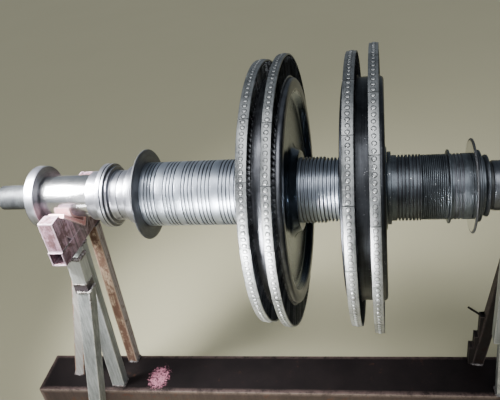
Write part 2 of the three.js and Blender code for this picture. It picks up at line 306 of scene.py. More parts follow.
@dataclass(frozen=True)
class TurnedFinish(Finish):
    """Steel off the lathe: fine marks round the axis, oxide stains and small painted glints, light dots that
    stand in for lamp glints.
    """

    bright: Colour
    dark: Colour
    roughness: float
    marks: float
    mark_depth: float
    metallic: float = 1.0
    stain: float = 0.35
    glints: float = 0.0
    glint_colour: Colour = (0.82, 0.84, 0.86)
    glint_scale: float = 190.0

    def dress(self, graph: Graph) -> Graph:
        """Lay marks along the profile, and stains that drift slowly round the axis.

        Args:
            graph: the new graph of the finish.

        Returns:
            The same graph, filled.
        """
        place = graph.place()
        x, radius, across, up = graph.about_axis(place)
        travel = x + radius
        rings = graph.noise(graph.join(travel * self.marks, across * 1.5, up * 1.5), scale=1.0, detail=2.0)
        bands = graph.noise(graph.join(travel * 90.0, across * 2.0, up * 2.0), scale=1.0, detail=3.0)
        blots = graph.noise(place, scale=26.0, detail=5.0, rough=0.62)
        shade = (rings - 0.5) * 0.9 + (bands - 0.5) * 1.2 + (blots - 0.5) * (4.0 * self.stain) + 0.5
        colour = graph.blend(self.dark, self.bright, shade.rise(0.05, 0.95))
        rough = (blots - 0.5) * (0.5 * self.stain) + (rings - 0.5) * 0.12 + self.roughness
        # Painted glints: small lighter dots with lower roughness, standing in for glints of lamps on the turned
        # edges.
        if self.glints:
            glint_cells = graph.cells(place, self.glint_scale)
            sown = graph.noise(place, scale=60.0, detail=2.0)
            glint_share = glint_cells.rise(0.2, 0.12) * sown.rise(0.54, 0.6) * self.glints
            colour = graph.blend(colour, self.glint_colour, glint_share)
            rough = rough - glint_share * 0.25
        graph.set(Base_Color=colour, Metallic=self.metallic, Roughness=rough.most(0.03).least(0.9))
        return graph.set(Normal=graph.bump(rings + blots * (0.4 * self.stain), self.mark_depth, 0.0006))


@dataclass(frozen=True)
class BladeFinish(Finish):
    """Blade steel, dark partly from service and partly as painted shade between the close-set blades."""

    bright: Colour = (0.2, 0.21, 0.22)
    dark: Colour = (0.035, 0.037, 0.042)
    roughness: float = 0.42

    def dress(self, graph: Graph) -> Graph:
        """Mottle the steel with deposits and change the tone a little from blade to blade.

        Args:
            graph: the new graph of the finish.

        Returns:
            The same graph, filled.
        """
        place = graph.place()
        blots = graph.noise(place, scale=40.0, detail=5.0, rough=0.65)
        grain = graph.noise(place, scale=420.0, detail=2.0)
        shade = blots * 1.3 + graph.own("tone") * 0.5 + grain * 0.3 - 0.7
        # The dark end of this blend is partly painted shade between the close-set blades.
        colour = graph.blend(self.dark, self.bright, shade.rise(0.1, 1.0))
        rough = (blots - 0.5) * 0.3 + self.roughness
        graph.set(Base_Color=colour, Metallic=0.9, Roughness=rough.most(0.1).least(0.9))
        return graph.set(Normal=graph.bump(grain + blots, strength=0.15, distance=0.0006))


@dataclass(frozen=True)
class BandFinish(Finish):
    """Dull shroud steel, brushed along the band, each segment a little different."""

    bright: Colour = (0.42, 0.435, 0.44)
    dark: Colour = (0.16, 0.168, 0.172)
    roughness: float = 0.42
    lift: float = 0.0

    def dress(self, graph: Graph) -> Graph:
        """Brush the band round the axis and cloud it with light stains.

        Args:
            graph: the new graph of the finish.

        Returns:
            The same graph, filled.
        """
        place = graph.place()
        x, _, across, up = graph.about_axis(place)
        brushed = graph.noise(graph.join(x * 900.0, across * 9.0, up * 9.0), scale=1.0, detail=2.0)
        blots = graph.noise(place, scale=30.0, detail=5.0, rough=0.65)
        spots = graph.noise(place, scale=190.0, detail=3.0)
        shade = (brushed - 0.5) * 0.8 + (blots - 0.5) * 1.1 + (spots - 0.5) * 0.7
        shade = shade + graph.own("tone") * 0.6 + (0.2 + self.lift)
        colour = graph.blend(self.dark, self.bright, shade.rise(0.0, 1.0))
        rough = (blots - 0.5) * 0.25 + (brushed - 0.5) * 0.15 + self.roughness
        graph.set(Base_Color=colour, Metallic=0.95, Roughness=rough.most(0.12).least(0.9))
        return graph.set(Normal=graph.bump(brushed + spots, strength=0.12, distance=0.0005))


@dataclass(frozen=True)
class Patch:
    """A lighter place on a painted piece: its centre and half sizes in X and Y, in metres."""

    x: float
    y: float
    half_x: float
    half_y: float

    def inside(self, x: Wire, y: Wire) -> Wire:
        """Give 1 at the patch's centre, falling to 0 at its rim."""
        far_x, far_y = (x - self.x) / self.half_x, (y - self.y) / self.half_y
        return (far_x * far_x + far_y * far_y).rise(1.0, 0.0)


@dataclass(frozen=True)
class PaintedFinish(Finish):
    """Shop primer or mill skin on stand steel: dust, scuffs, rust and worn edges."""

    paint: Colour
    faded: Colour
    worn: Colour
    rust: Colour
    rust_share: float
    roughness: float = 0.5
    metallic: float = 0.0
    gloss: float = 0.35
    streaks: float = 0.5
    patch: Optional[Patch] = None
    patch_colour: Colour = (0.5, 0.2, 0.27)
    burnt: Optional[tuple[float, float]] = None
    burnt_colour: Colour = (0.05, 0.036, 0.044)

    def dress(self, graph: Graph) -> Graph:
        """Layer faded paint, rust, worn edges and, where there are any, the lighter pink patch and the burnt
        zone.

        Args:
            graph: the new graph of the finish.

        Returns:
            The same graph, filled.
        """
        place = graph.place()
        clouds = graph.noise(place, scale=9.0, detail=5.0, rough=0.6)
        blots = graph.noise(place, scale=38.0, detail=6.0, rough=0.68)
        grain = graph.noise(place, scale=330.0, detail=3.0)
        edge = graph.own("edge")
        x, y, z = graph.split(place)
        runs = graph.noise(graph.join(x * 150.0, y * 150.0, z * 5.0), scale=1.0, detail=4.0, rough=0.6)
        tone = clouds * 0.6 + grain * 0.35 + (runs - 0.5) * self.streaks + 0.1
        colour = graph.blend(self.paint, self.faded, tone.rise(0.3, 0.85))
        start = 0.72 - 0.4 * self.rust_share
        rusted = (blots * 0.75 + clouds * 0.35 + grain * 0.1).rise(start, start + 0.12)
        colour = graph.blend(colour, self.rust, rusted * 0.9)
        rubbed = edge * (blots * 0.8 + grain * 0.5).rise(0.45, 0.75)
        colour = graph.blend(colour, self.worn, rubbed)
        if self.patch:
            # A lighter pink patch, broken up by fine noise.
            patch_share = (self.patch.inside(x, y) * 0.3 + graph.noise(place, 110.0, 6.0, 0.8)).rise(0.68, 0.84)
            colour = graph.blend(colour, self.patch_colour, patch_share * 0.85)
        if self.burnt:
            low, high = self.burnt
            wavy = z + (blots - 0.5) * 0.012
            heat = wavy.rise(low - 0.002, low + 0.002) * wavy.rise(high + 0.003, high - 0.002)
            colour = graph.blend(colour, self.burnt_colour, heat * (grain * 0.5 + 0.7))
        rough = (grain - 0.5) * 0.25 + rusted * 0.25 + self.roughness
        graph.set(Base_Color=colour, Metallic=self.metallic, Specular_IOR_Level=self.gloss)
        graph.set(Roughness=rough.most(0.15).least(1.0))
        return graph.set(Normal=graph.bump(blots * 0.8 + grain * 0.5 + rusted * 0.3, 0.35, 0.0012))


@dataclass(frozen=True)
class WeldFinish(Finish):
    """Weld metal with scale, slag and a bloom of rust."""

    scale: Colour = (0.05, 0.045, 0.045)
    bare: Colour = (0.26, 0.25, 0.25)
    bloom: Colour = (0.2, 0.08, 0.04)

    def dress(self, graph: Graph) -> Graph:
        """Mix dark scale, bare metal and rust over a rippled surface.

        Args:
            graph: the new graph of the finish.

        Returns:
            The same graph, filled.
        """
        place = graph.place()
        blots = graph.noise(place, scale=120.0, detail=4.0, rough=0.7)
        grain = graph.noise(place, scale=600.0, detail=2.0)
        colour = graph.blend(self.scale, self.bare, blots.rise(0.42, 0.62))
        colour = graph.blend(colour, self.bloom, grain.rise(0.5, 0.75) * 0.6)
        graph.set(Base_Color=colour, Metallic=0.5, Roughness=blots * 0.4 + 0.35)
        return graph.set(Normal=graph.bump(blots + grain, strength=0.5, distance=0.001))


@dataclass(frozen=True)
class FloorFinish(Finish):
    """The studio's plain pale floor."""

    colour: Colour = (0.42, 0.395, 0.262)
    darkening: float = 0.94

    def dress(self, graph: Graph) -> Graph:
        """Keep the floor plain, with hardly any change of tone.

        Args:
            graph: the new graph of the finish.

        Returns:
            The same graph, filled.
        """
        clouds = graph.noise(graph.place(), scale=1.4, detail=3.0)
        darker = tuple(self.darkening * part for part in self.colour)
        return graph.set(Base_Color=graph.blend(darker, self.colour, clouds), Roughness=0.7)


JOURNAL_STEEL = TurnedFinish(
    "journal_steel", Slot.POLISHED, (0.9, 0.9, 0.91), (0.75, 0.75, 0.77),
    roughness=0.2, marks=900.0, mark_depth=0.04, stain=0.1,
)
# Painted shade: a dark copy of the ground journal steel, for the right journal, which stands in shade.
SHADED_JOURNAL_STEEL = TurnedFinish(
    "shaded_journal_steel", Slot.POLISHED, (0.16, 0.17, 0.19), (0.1, 0.107, 0.12),
    roughness=0.34, marks=900.0, mark_depth=0.05, stain=0.1,
)
# Painted shade: dark steel for the shaft's stub ends, which stand in shadow, and for the seat under the rings.
SHADED_SHAFT_STEEL = TurnedFinish(
    "shaded_shaft_steel", Slot.POLISHED, (0.075, 0.08, 0.085), (0.03, 0.032, 0.035),
    metallic=0.8, roughness=0.5, marks=500.0, mark_depth=0.15, stain=0.3,
)
RING_STEEL = TurnedFinish(
    "ring_steel", Slot.TURNED, (0.52, 0.53, 0.59), (0.38, 0.39, 0.44),
    roughness=0.33, marks=600.0, mark_depth=0.04, stain=0.04,
)
SLEEVE_STEEL = TurnedFinish(
    "sleeve_steel", Slot.TURNED, (0.435, 0.482, 0.558), (0.32, 0.355, 0.415),
    roughness=0.38, marks=800.0, mark_depth=0.06, stain=0.05,
)
# Painted shade: darker steel for the grooves of the left sleeve, where shade falls in the recesses.
SOFT_GROOVE_SHADE = TurnedFinish(
    "soft_groove_shade_steel", Slot.TURNED, (0.27, 0.28, 0.31), (0.13, 0.135, 0.15),
    roughness=0.4, marks=600.0, mark_depth=0.15, stain=0.3,
)
# Painted shade: darker still, for groove floors, the hollows between fins and the centre holes.
GROOVE_SHADE = TurnedFinish(
    "groove_shade_steel", Slot.TURNED, (0.14, 0.15, 0.17), (0.05, 0.05, 0.06),
    metallic=0.9, roughness=0.45, marks=600.0, mark_depth=0.15, stain=0.4,
)
# Painted shade: darker steel for the side faces of the rings, which the light barely reaches.
SHADED_FACE_STEEL = TurnedFinish(
    "shaded_face_steel", Slot.TURNED, (0.2, 0.2, 0.22), (0.09, 0.09, 0.1),
    metallic=0.95, roughness=0.36, marks=500.0, mark_depth=0.2, stain=0.3,
)
# Partly dark oxide, partly painted shade: the right-hand rings and sleeve, far darker than the turned steel on
# the left.
DARK_STEEL = TurnedFinish(
    "oxide_and_shade_steel", Slot.DARK, (0.15, 0.17, 0.192), (0.065, 0.073, 0.083),
    metallic=0.95, roughness=0.42, marks=600.0, mark_depth=0.16, stain=0.4, glints=0.9,
)
RIM_STEEL = TurnedFinish(
    "rim_steel", Slot.DARK, (0.2, 0.207, 0.23), (0.075, 0.078, 0.088),
    metallic=0.95, roughness=0.33, marks=400.0, mark_depth=0.16, glints=0.3,
)
RIM_SHADE = TurnedFinish(
    "rim_shade_steel", Slot.DARK, (0.075, 0.08, 0.09), (0.028, 0.03, 0.034),
    metallic=0.95, roughness=0.35, marks=400.0, mark_depth=0.16, glints=0.3,
)
WEB_STEEL = TurnedFinish(
    "web_steel", Slot.DARK, (0.14, 0.165, 0.2), (0.1, 0.117, 0.142),
    roughness=0.24, marks=300.0, mark_depth=0.05, stain=0.2, glints=0.2,
)
DISC_STEEL = TurnedFinish(
    "disc_steel", Slot.DARK, (0.15, 0.155, 0.165), (0.075, 0.078, 0.085),
    metallic=0.8, roughness=0.5, marks=500.0, mark_depth=0.15, stain=0.3,
)
DISC_MIRROR = TurnedFinish(
    "disc_mirror", Slot.DARK, (0.42, 0.42, 0.42), (0.3, 0.3, 0.3),
    roughness=0.1, marks=300.0, mark_depth=0.04, stain=0.15,
)
BLADE_STEEL = BladeFinish("blade_steel", Slot.BLADE)
ROOT_STEEL = BladeFinish("root_steel", Slot.BLADE, (0.34, 0.35, 0.37), (0.06, 0.062, 0.07), roughness=0.35)
BAND_STEEL = BandFinish("band_steel", Slot.BAND)
TENON_STEEL = BandFinish("tenon_steel", Slot.BAND, (0.46, 0.475, 0.48), (0.2, 0.208, 0.212), lift=0.15)
TENON_SHADE = BandFinish("tenon_shade", Slot.BAND, (0.09, 0.09, 0.09), (0.03, 0.03, 0.03), roughness=0.6)
PRIMER = PaintedFinish(
    "red_primer", Slot.PRIMER,
    paint=(0.038, 0.023, 0.029), faded=(0.33, 0.2, 0.255), worn=(0.38, 0.3, 0.34), rust=(0.08, 0.034, 0.035),
    rust_share=0.35, roughness=0.4, metallic=0.1, gloss=0.5, streaks=1.3,
)
BEAM_TOP = PaintedFinish(
    "beam_top_paint", Slot.PRIMER,
    paint=(0.005, 0.0042, 0.0043), faded=(0.012, 0.009, 0.009), worn=(0.08, 0.055, 0.05),
    rust=(0.04, 0.02, 0.014), rust_share=0.05, gloss=0.08, streaks=0.1,
    patch=Patch(x=-0.475, y=-0.047, half_x=0.055, half_y=0.075),
)
BEAM_SIDE = PaintedFinish(
    "beam_side_rust", Slot.PRIMER,
    paint=(0.035, 0.025, 0.022), faded=(0.085, 0.06, 0.05), worn=(0.17, 0.13, 0.11), rust=(0.1, 0.045, 0.028),
    rust_share=0.2, roughness=0.75, gloss=0.2, streaks=0.3,
)
LINING = PaintedFinish(
    "pink_lining", Slot.LINING,
    paint=(0.5, 0.19, 0.2), faded=(0.62, 0.33, 0.33), worn=(0.8, 0.6, 0.58), rust=(0.2, 0.06, 0.06),
    rust_share=0.1, roughness=0.6,
)
GREY_MILL = PaintedFinish(
    "grey_mill_steel", Slot.GREY,
    paint=(0.15, 0.16, 0.158), faded=(0.32, 0.335, 0.33), worn=(0.42, 0.42, 0.4), rust=(0.13, 0.11, 0.1),
    rust_share=0.04, metallic=0.35, gloss=0.4, streaks=1.1,
)
PALE_MILL = PaintedFinish(
    "pale_mill_steel", Slot.GREY,
    paint=(0.3, 0.31, 0.3), faded=(0.46, 0.47, 0.45), worn=(0.42, 0.41, 0.39), rust=(0.3, 0.26, 0.25),
    rust_share=0.04, roughness=0.45, metallic=0.3, gloss=0.4, streaks=0.8, burnt=(0.53, 0.571),
)
BEIGE_MILL = PaintedFinish(
    "beige_mill_steel", Slot.GREY,
    paint=(0.3, 0.29, 0.27), faded=(0.5, 0.485, 0.46), worn=(0.3, 0.15, 0.09), rust=(0.17, 0.115, 0.085),
    rust_share=0.1, roughness=0.55, metallic=0.2, gloss=0.3, streaks=0.9,
)
RUSTY = PaintedFinish(
    "rusty_steel", Slot.RUSTY,
    paint=(0.15, 0.085, 0.05), faded=(0.5, 0.38, 0.27), worn=(0.45, 0.33, 0.24), rust=(0.13, 0.065, 0.045),
    rust_share=0.45, roughness=0.65, metallic=0.1, gloss=0.3, streaks=1.6,
)
MAUVE_MILL = PaintedFinish(
    "mauve_mill_steel", Slot.RUSTY,
    paint=(0.17, 0.13, 0.125), faded=(0.4, 0.35, 0.34), worn=(0.42, 0.36, 0.33), rust=(0.14, 0.075, 0.06),
    rust_share=0.2, roughness=0.6, metallic=0.15, gloss=0.3, streaks=1.2,
)
# Painted shade: near-black steel for the right trestle's rear leg and its rod, which stand in shadow.
SHADED_LEG_STEEL = PaintedFinish(
    "shaded_leg_steel", Slot.RUSTY,
    paint=(0.009, 0.008, 0.0075), faded=(0.022, 0.018, 0.016), worn=(0.07, 0.055, 0.05),
    rust=(0.02, 0.012, 0.01), rust_share=0.2, roughness=0.6, gloss=0.12,
)
WELD = WeldFinish("weld_metal", Slot.RUSTY)
LAP_WELD = WeldFinish("lap_weld_metal", Slot.GREY, (0.1, 0.095, 0.09), (0.45, 0.45, 0.43))
FLOOR = FloorFinish("floor_paint", Slot.GREY)


def round_axis(x: float, r: float, angle: float) -> Point:
    """Give a point in metres from its place along the axis, its radius and its angle up from the front."""
    return (x * MM, -r * MM * math.cos(angle), AXIS_Z + r * MM * math.sin(angle))


def joined_rings(rings: int, sides: int, turned: bool = False) -> list[Face]:
    """Give the quads that join rings of points, each ring to the next.

    Args:
        rings: how many rings there are.
        sides: how many points a ring has.
        turned: whether the faces look the other way.

    Returns:
        The faces, as numbers of points.
    """
    faces: list[Face] = []
    for base in range(0, (rings - 1) * sides, sides):
        for here in range(sides):
            there = (here + 1) % sides
            first, second = (there, here) if turned else (here, there)
            faces.append((base + first, base + second, base + sides + second, base + sides + first))
    return faces


def end_faces(rings: int, sides: int, turned: bool = False) -> list[Face]:
    """Give the faces that close the first and the last ring.

    Args:
        rings: how many rings there are.
        sides: how many points a ring has.
        turned: whether the faces look the other way.

    Returns:
        The two faces, as numbers of points.
    """
    first, last = tuple(range(sides)), tuple(range((rings - 1) * sides, rings * sides))
    return [first, last[::-1]] if turned else [first[::-1], last]


def linked(name: str, data: bpy.types.ID) -> bpy.types.Object:
    """Make an object and link it to the scene.

    Args:
        name: the object's name.
        data: its mesh, camera or light.

    Returns:
        The new object.
    """
    made = bpy.data.objects.new(name, data)
    bpy.context.scene.collection.objects.link(made)
    return made


@dataclass
class Shell:
    """Points and faces gathered for one mesh, each face with its finish and each point with its values."""

    points: list[Point] = field(default_factory=list)
    faces: list[Face] = field(default_factory=list)
    finishes: list[Finish] = field(default_factory=list)
    values: dict[str, list[float]] = field(default_factory=dict)

    def add(
        self,
        points: Sequence[Point],
        faces: Sequence[Face],
        finish: Union[Finish, Sequence[Finish]],
        **values: float,
    ) -> "Shell":
        """Add points and faces.

        Args:
            points: new points, in metres.
            faces: faces as numbers into the new points.
            finish: one finish for all the faces, or one for each.
            values: values that all the new points hold, such as tone.

        Returns:
            The shell itself.
        """
        base = len(self.points)
        self.points.extend(points)
        self.faces.extend([tuple(base + i for i in face) for face in faces])
        self.finishes.extend([finish] * len(faces) if isinstance(finish, Finish) else finish)
        for name, value in values.items():
            kept = self.values.setdefault(name, [0.0] * base)
            kept.extend([value] * len(points))
        return self

    def build(self, name: str, body: Body, sharp: float = 40.0) -> bpy.types.Object:
        """Make the object.

        Args:
            name: the piece's name.
            body: the body that the piece rides on.
            sharp: the angle, in degrees, past which an edge is drawn sharp.

        Returns:
            The new object, smooth shaded, with its materials and values.
        """
        mesh = bpy.data.meshes.new(name)
        mesh.from_pydata(self.points, [], self.faces)
        order: list[Finish] = list(dict.fromkeys(self.finishes))
        for finish in order:
            mesh.materials.append(finish.material())
        number = {finish: i for i, finish in enumerate(order)}
        mesh.polygons.foreach_set("material_index", [number[finish] for finish in self.finishes])
        for key, held in self.values.items():
            held.extend([0.0] * (len(self.points) - len(held)))
            mesh.attributes.new(key, "FLOAT", "POINT").data.foreach_set("value", held)
        mesh.validate()
        mesh.shade_smooth()
        mesh.set_sharp_from_angle(angle=math.radians(sharp))
        made = linked(name, mesh)
        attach(made, body.value)
        return made


@dataclass
class Corner:
    """A corner of a turned profile, with its fillet and the finish of the stretch that leads to it."""

    x: float
    r: float
    fillet: float
    finish: Finish


@dataclass
class Turning:
    """A profile turned about the rotor axis, drawn in millimetres from its left bore to its right one."""

    finish: Finish
    fillet: float = 0.8
    corners: list[Corner] = field(default_factory=list)
    arc_steps: int = 3
    fillet_share: float = 0.45
    least_fillet: float = 0.02
    nearly_straight: float = 0.995
    groove_slope: float = 0.25
    groove_edge: float = 0.5

    def to(
        self, x: float, r: float, finish: Optional[Finish] = None, fillet: Optional[float] = None
    ) -> "Turning":
        """Draw to the next corner.

        Args:
            x: place along the axis, in millimetres.
            r: radius, in millimetres.
            finish: the finish of this stretch where it isn't the turning's own.
            fillet: the corner's fillet radius where it isn't the turning's own.

        Returns:
            The turning itself.
        """
        rounding = self.fillet if fillet is None else fillet
        self.corners.append(Corner(x, r, rounding, finish or self.finish))
        return self

    def groove(self, x: float, width: float, depth: float, floor: Finish) -> "Turning":
        """Cut a narrow groove below the radius of the last corner.

        Args:
            x: the groove's centre along the axis, in millimetres.
            width: its width.
            depth: its depth.
            floor: the finish of its floor and its walls.

        Returns:
            The turning itself.
        """
        top, half, slope = self.corners[-1].r, width / 2, self.groove_slope
        self.to(x - half, top, fillet=self.groove_edge)
        self.to(x - half + slope, top - depth, floor, 0.0).to(x + half - slope, top - depth, floor, 0.0)
        return self.to(x + half, top, floor, self.groove_edge)

    def outline(self) -> list[tuple[float, float, Finish]]:
        """Draw the fillets as short arcs.

        Returns:
            The profile's points, each with the finish of the stretch that leads to it.
        """
        drawn: list[tuple[float, float, Finish]] = []
        last = len(self.corners) - 1
        for i, corner in enumerate(self.corners):
            here = Vector((corner.x, corner.r))
            if i in (0, last) or corner.fillet <= 0:
                drawn.append((corner.x, corner.r, corner.finish))
                continue
            before, after = self.corners[i - 1], self.corners[i + 1]
            back, ahead = Vector((before.x, before.r)) - here, Vector((after.x, after.r)) - here
            reach = min(corner.fillet, back.length * self.fillet_share, ahead.length * self.fillet_share)
            bend = abs(back.normalized().dot(ahead.normalized()))
            if reach < self.least_fillet or bend > self.nearly_straight:
                drawn.append((corner.x, corner.r, corner.finish))
                continue
            start, end = here + back.normalized() * reach, here + ahead.normalized() * reach
            for k in range(self.arc_steps + 1):
                t = k / self.arc_steps
                at = start * (1 - t) ** 2 + here * 2 * t * (1 - t) + end * t * t
                drawn.append((at.x, at.y, corner.finish))
        return drawn

    def build(self, node: str, sides: int = 128, closed: bool = True) -> None:
        """Turn the profile into the piece that replaces a node of the rotor.

        Args:
            node: the node.
            sides: how many steps a full turn takes.
            closed: whether the last point joins the first, as on a ring with a bore.
        """
        outline = self.outline()
        points: list[Point] = []
        rings: list[list[int]] = []
        for x, r, _ in outline:
            steps = 1 if r < self.least_fillet / 2 else sides
            rings.append([len(points) + k % steps for k in range(sides)])
            points.extend(round_axis(x, r if steps > 1 else 0.0, FULL_TURN * k / sides) for k in range(steps))
        faces: list[Face] = []
        finishes: list[Finish] = []
        for i in range(len(rings) if closed else len(rings) - 1):
            j = (i + 1) % len(rings)
            for k in range(sides):
                n = (k + 1) % sides
                faces.append(list(dict.fromkeys([rings[i][k], rings[j][k], rings[j][n], rings[i][n]])))
                finishes.append(outline[j][2])
        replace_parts(Shell().add(points, faces, finishes).build(f"{node}_turned", Body.ROTOR), node)


@dataclass(frozen=True)
class Span:
    """The room that a node of the frame takes about the axis, in millimetres."""

    start: float
    end: float
    radius: float

    @classmethod
    def of(cls, node: str) -> "Span":
        """Measure a node of the frame."""
        low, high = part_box(node)
        return cls(low.x / MM, high.x / MM, high.y / MM)


@dataclass
class Shaft:
    """The forged shaft: stub ends with centre holes, two ground journals and the seat under the rings."""

    stub: float = 34.7
    seat: float = 55.5
    left_journal: tuple[float, float, float] = (-652.0, -506.5, 58.8)
    right_journal: tuple[float, float, float] = (519.5, 665.0, 59.7)
    relief: tuple[float, float] = (2.4, 0.8)
    shoulder: tuple[float, float] = (-468.0, 68.0)
    centre_hole: tuple[float, float] = (7.0, 9.0)

    def build(self) -> None:
        """Turn the shaft from end to end."""
        span = Span.of("shaft")
        radius, depth = self.centre_hole
        lathe = Turning(SHADED_SHAFT_STEEL, fillet=2.0)
        lathe.to(span.start + depth, 0).to(span.start, radius, GROOVE_SHADE, fillet=0.3)
        lathe.to(span.start, self.stub).to(self.left_journal[0], self.stub, fillet=1.0)
        self._journal(lathe, self.left_journal, JOURNAL_STEEL)
        end, shoulder = self.shoulder
        lathe.to(self.left_journal[1], shoulder, RING_STEEL, fillet=1.0).to(end, shoulder, RING_STEEL, 1.0)
        lathe.to(end, self.seat).to(self.right_journal[0], self.seat)
        self._journal(lathe, self.right_journal, SHADED_JOURNAL_STEEL)
        lathe.to(self.right_journal[1], self.stub, fillet=1.0).to(span.end, self.stub)
        lathe.to(span.end, radius, fillet=0.3).to(span.end - depth, 0, GROOVE_SHADE)
        lathe.build("shaft", closed=False)

    def _journal(self, lathe: Turning, journal: tuple[float, float, float], finish: Finish) -> None:
        """Draw a ground journal with a shallow relief at each end.

        Args:
            lathe: the shaft's turning.
            journal: where the journal starts and ends along the axis, and its radius.
            finish: its finish.
        """
        start, end, radius = journal
        width, depth = self.relief
        lathe.to(start, radius - depth, finish).to(start + width, radius - depth, finish, fillet=0.2)
        lathe.to(start + width, radius, finish, fillet=0.2).to(end - width, radius, finish, fillet=0.2)
        lathe.to(end - width, radius - depth, finish, fillet=0.2).to(end, radius - depth, finish, fillet=0.2)


@dataclass
class ShaftRings:
    """The rings and collars that are shrunk on the seat beside the journals."""

    bore: float = SHRINK_BORE
    stub_bore: float = 35.0
    neck: float = 68.3
    recess: tuple[float, float, float] = (1.5, 58.0, 76.0)
    recess_wall: float = 2.0
    seal_groove: tuple[float, float, float] = (13.8, 2.8, 4.0)
    flange: float = 7.4
    flange_root: float = 4.6
    scribed: tuple[float, float, float] = (3.0, 2.0, 2.4)
    spacer_land: float = 20.0
    thrust_grooves: tuple[float, float] = (4.2, 8.6)
    thrust_step: tuple[float, float] = (7.0, 70.0)
    crown: float = 4.0

    def build(self) -> None:
        """Turn every ring."""
        self._collar("end_collar_left", RING_STEEL, SHADED_FACE_STEEL)
        self._collar("end_collar_right", DARK_STEEL, DARK_STEEL)
        self._seal_ring()
        self._oil_ring_left()
        self._spacer_ring()
        self._thrust_ring()
        self._oil_ring_right()

    def _collar(self, node: str, rim: Finish, face: Finish) -> None:
        """Turn an end collar with a shallow recess on its outer face.

        Args:
            node: the collar's node.
            rim: the finish of its rim.
            face: the finish of its faces.
        """
        span = Span.of(node)
        depth, inner, outer = self.recess
        lathe = Turning(face, fillet=1.2).to(span.start, self.stub_bore).to(span.start, inner, fillet=0.3)
        lathe.to(span.start + depth, inner + self.recess_wall, fillet=0.3)
        lathe.to(span.start + depth, outer - self.recess_wall, fillet=0.3)
        lathe.to(span.start, outer, fillet=0.3).to(span.start, span.radius, fillet=2.0)
        lathe.to(span.end, span.radius, rim, fillet=2.0).to(span.end, self.stub_bore).build(node)

    def _seal_ring(self) -> None:
        """Turn the seal ring: a wide land, one groove and a narrow land, its face to the right in painted
        shade.
        """
        span = Span.of("seal_ring_left")
        place, width, depth = self.seal_groove
        lathe = Turning(RING_STEEL, 1.0).to(span.start, self.bore, SHADED_FACE_STEEL).to(span.start, span.radius)
        lathe.groove(span.start + place, width, depth, GROOVE_SHADE).to(span.end, span.radius)
        lathe.to(span.end, self.bore, SHADED_FACE_STEEL).build("seal_ring_left")

    def _oil_ring_left(self) -> None:
        """Turn the oil ring: a stepped flange and a neck with a scribed line."""
        span = Span.of("oil_ring_left")
        edge, root = span.start + self.flange, span.start + self.flange + self.flange_root
        past_middle, width, depth = self.scribed
        lathe = Turning(RING_STEEL, fillet=1.0).to(span.start, self.bore, SHADED_FACE_STEEL)
        lathe.to(span.start, span.radius, SHADED_FACE_STEEL).to(edge, span.radius)
        lathe.to(edge, self.neck + 2.0, SHADED_FACE_STEEL, fillet=2.0).to(root, self.neck, fillet=2.0)
        lathe.groove((span.start + span.end) / 2 + past_middle, width, depth, GROOVE_SHADE)
        lathe.to(span.end, self.neck).to(span.end, self.bore, SHADED_FACE_STEEL).build("oil_ring_left")

    def _spacer_ring(self) -> None:
        """Turn the spacer ring that stands against the slinger disc."""
        span = Span.of("spacer_ring_left")
        edge = span.start + self.spacer_land
        lathe = Turning(RING_STEEL, fillet=1.0).to(span.start, self.bore, SHADED_FACE_STEEL)
        lathe.to(span.start, span.radius, SHADED_FACE_STEEL).to(edge, span.radius)
        lathe.to(edge, self.neck, SHADED_FACE_STEEL).to(span.end, self.neck).to(span.end, self.bore)
        lathe.build("spacer_ring_left")

    def _thrust_ring(self) -> None:
        """Turn the dark thrust ring with two narrow grooves."""
        span = Span.of("thrust_ring_right")
        length, radius = self.thrust_step
        lathe = Turning(DARK_STEEL, fillet=1.2).to(span.start, self.bore).to(span.start, span.radius)
        for place in self.thrust_grooves:
            lathe.groove(span.start + place, width=1.4, depth=2.2, floor=GROOVE_SHADE)
        lathe.to(span.end - length, span.radius, fillet=3.0).to(span.end - length, radius)
        lathe.to(span.end, radius).to(span.end, self.bore).build("thrust_ring_right")

    def _oil_ring_right(self) -> None:
        """Turn the dark oil ring with its rounded crown."""
        span = Span.of("oil_ring_right")
        lathe = Turning(DARK_STEEL, 1.0).to(span.start, self.bore).to(span.start, span.radius - self.crown)
        lathe.to(span.start + self.crown, span.radius, fillet=3.0)
        lathe.groove((span.start + span.end) / 2, width=1.8, depth=2.0, floor=GROOVE_SHADE)
        lathe.to(span.end, span.radius, fillet=3.0).to(span.end, self.bore).build("oil_ring_right")


@dataclass
class SlingerDisc:
    """A thin disc that throws oil off the shaft, with a bevelled rim."""

    node: str
    finish: Finish = DISC_STEEL
    bore: float = SHRINK_BORE
    bevel: float = 7.0
    half_rim: float = 2.0

    def build(self) -> None:
        """Turn the disc: a face, its dull bevelled rim and the other face."""
        span = Span.of(self.node)
        middle, low = (span.start + span.end) / 2, span.radius - self.bevel
        lathe = Turning(self.finish, fillet=1.0).to(span.start, self.bore).to(span.start, low, fillet=2.0)
        lathe.to(middle - self.half_rim, span.radius, DISC_STEEL, fillet=2.0)
        lathe.to(middle + self.half_rim, span.radius, DISC_STEEL, 2.0).to(span.end, low, DISC_STEEL, 2.0)
        lathe.to(span.end, self.bore).build(self.node, sides=160)


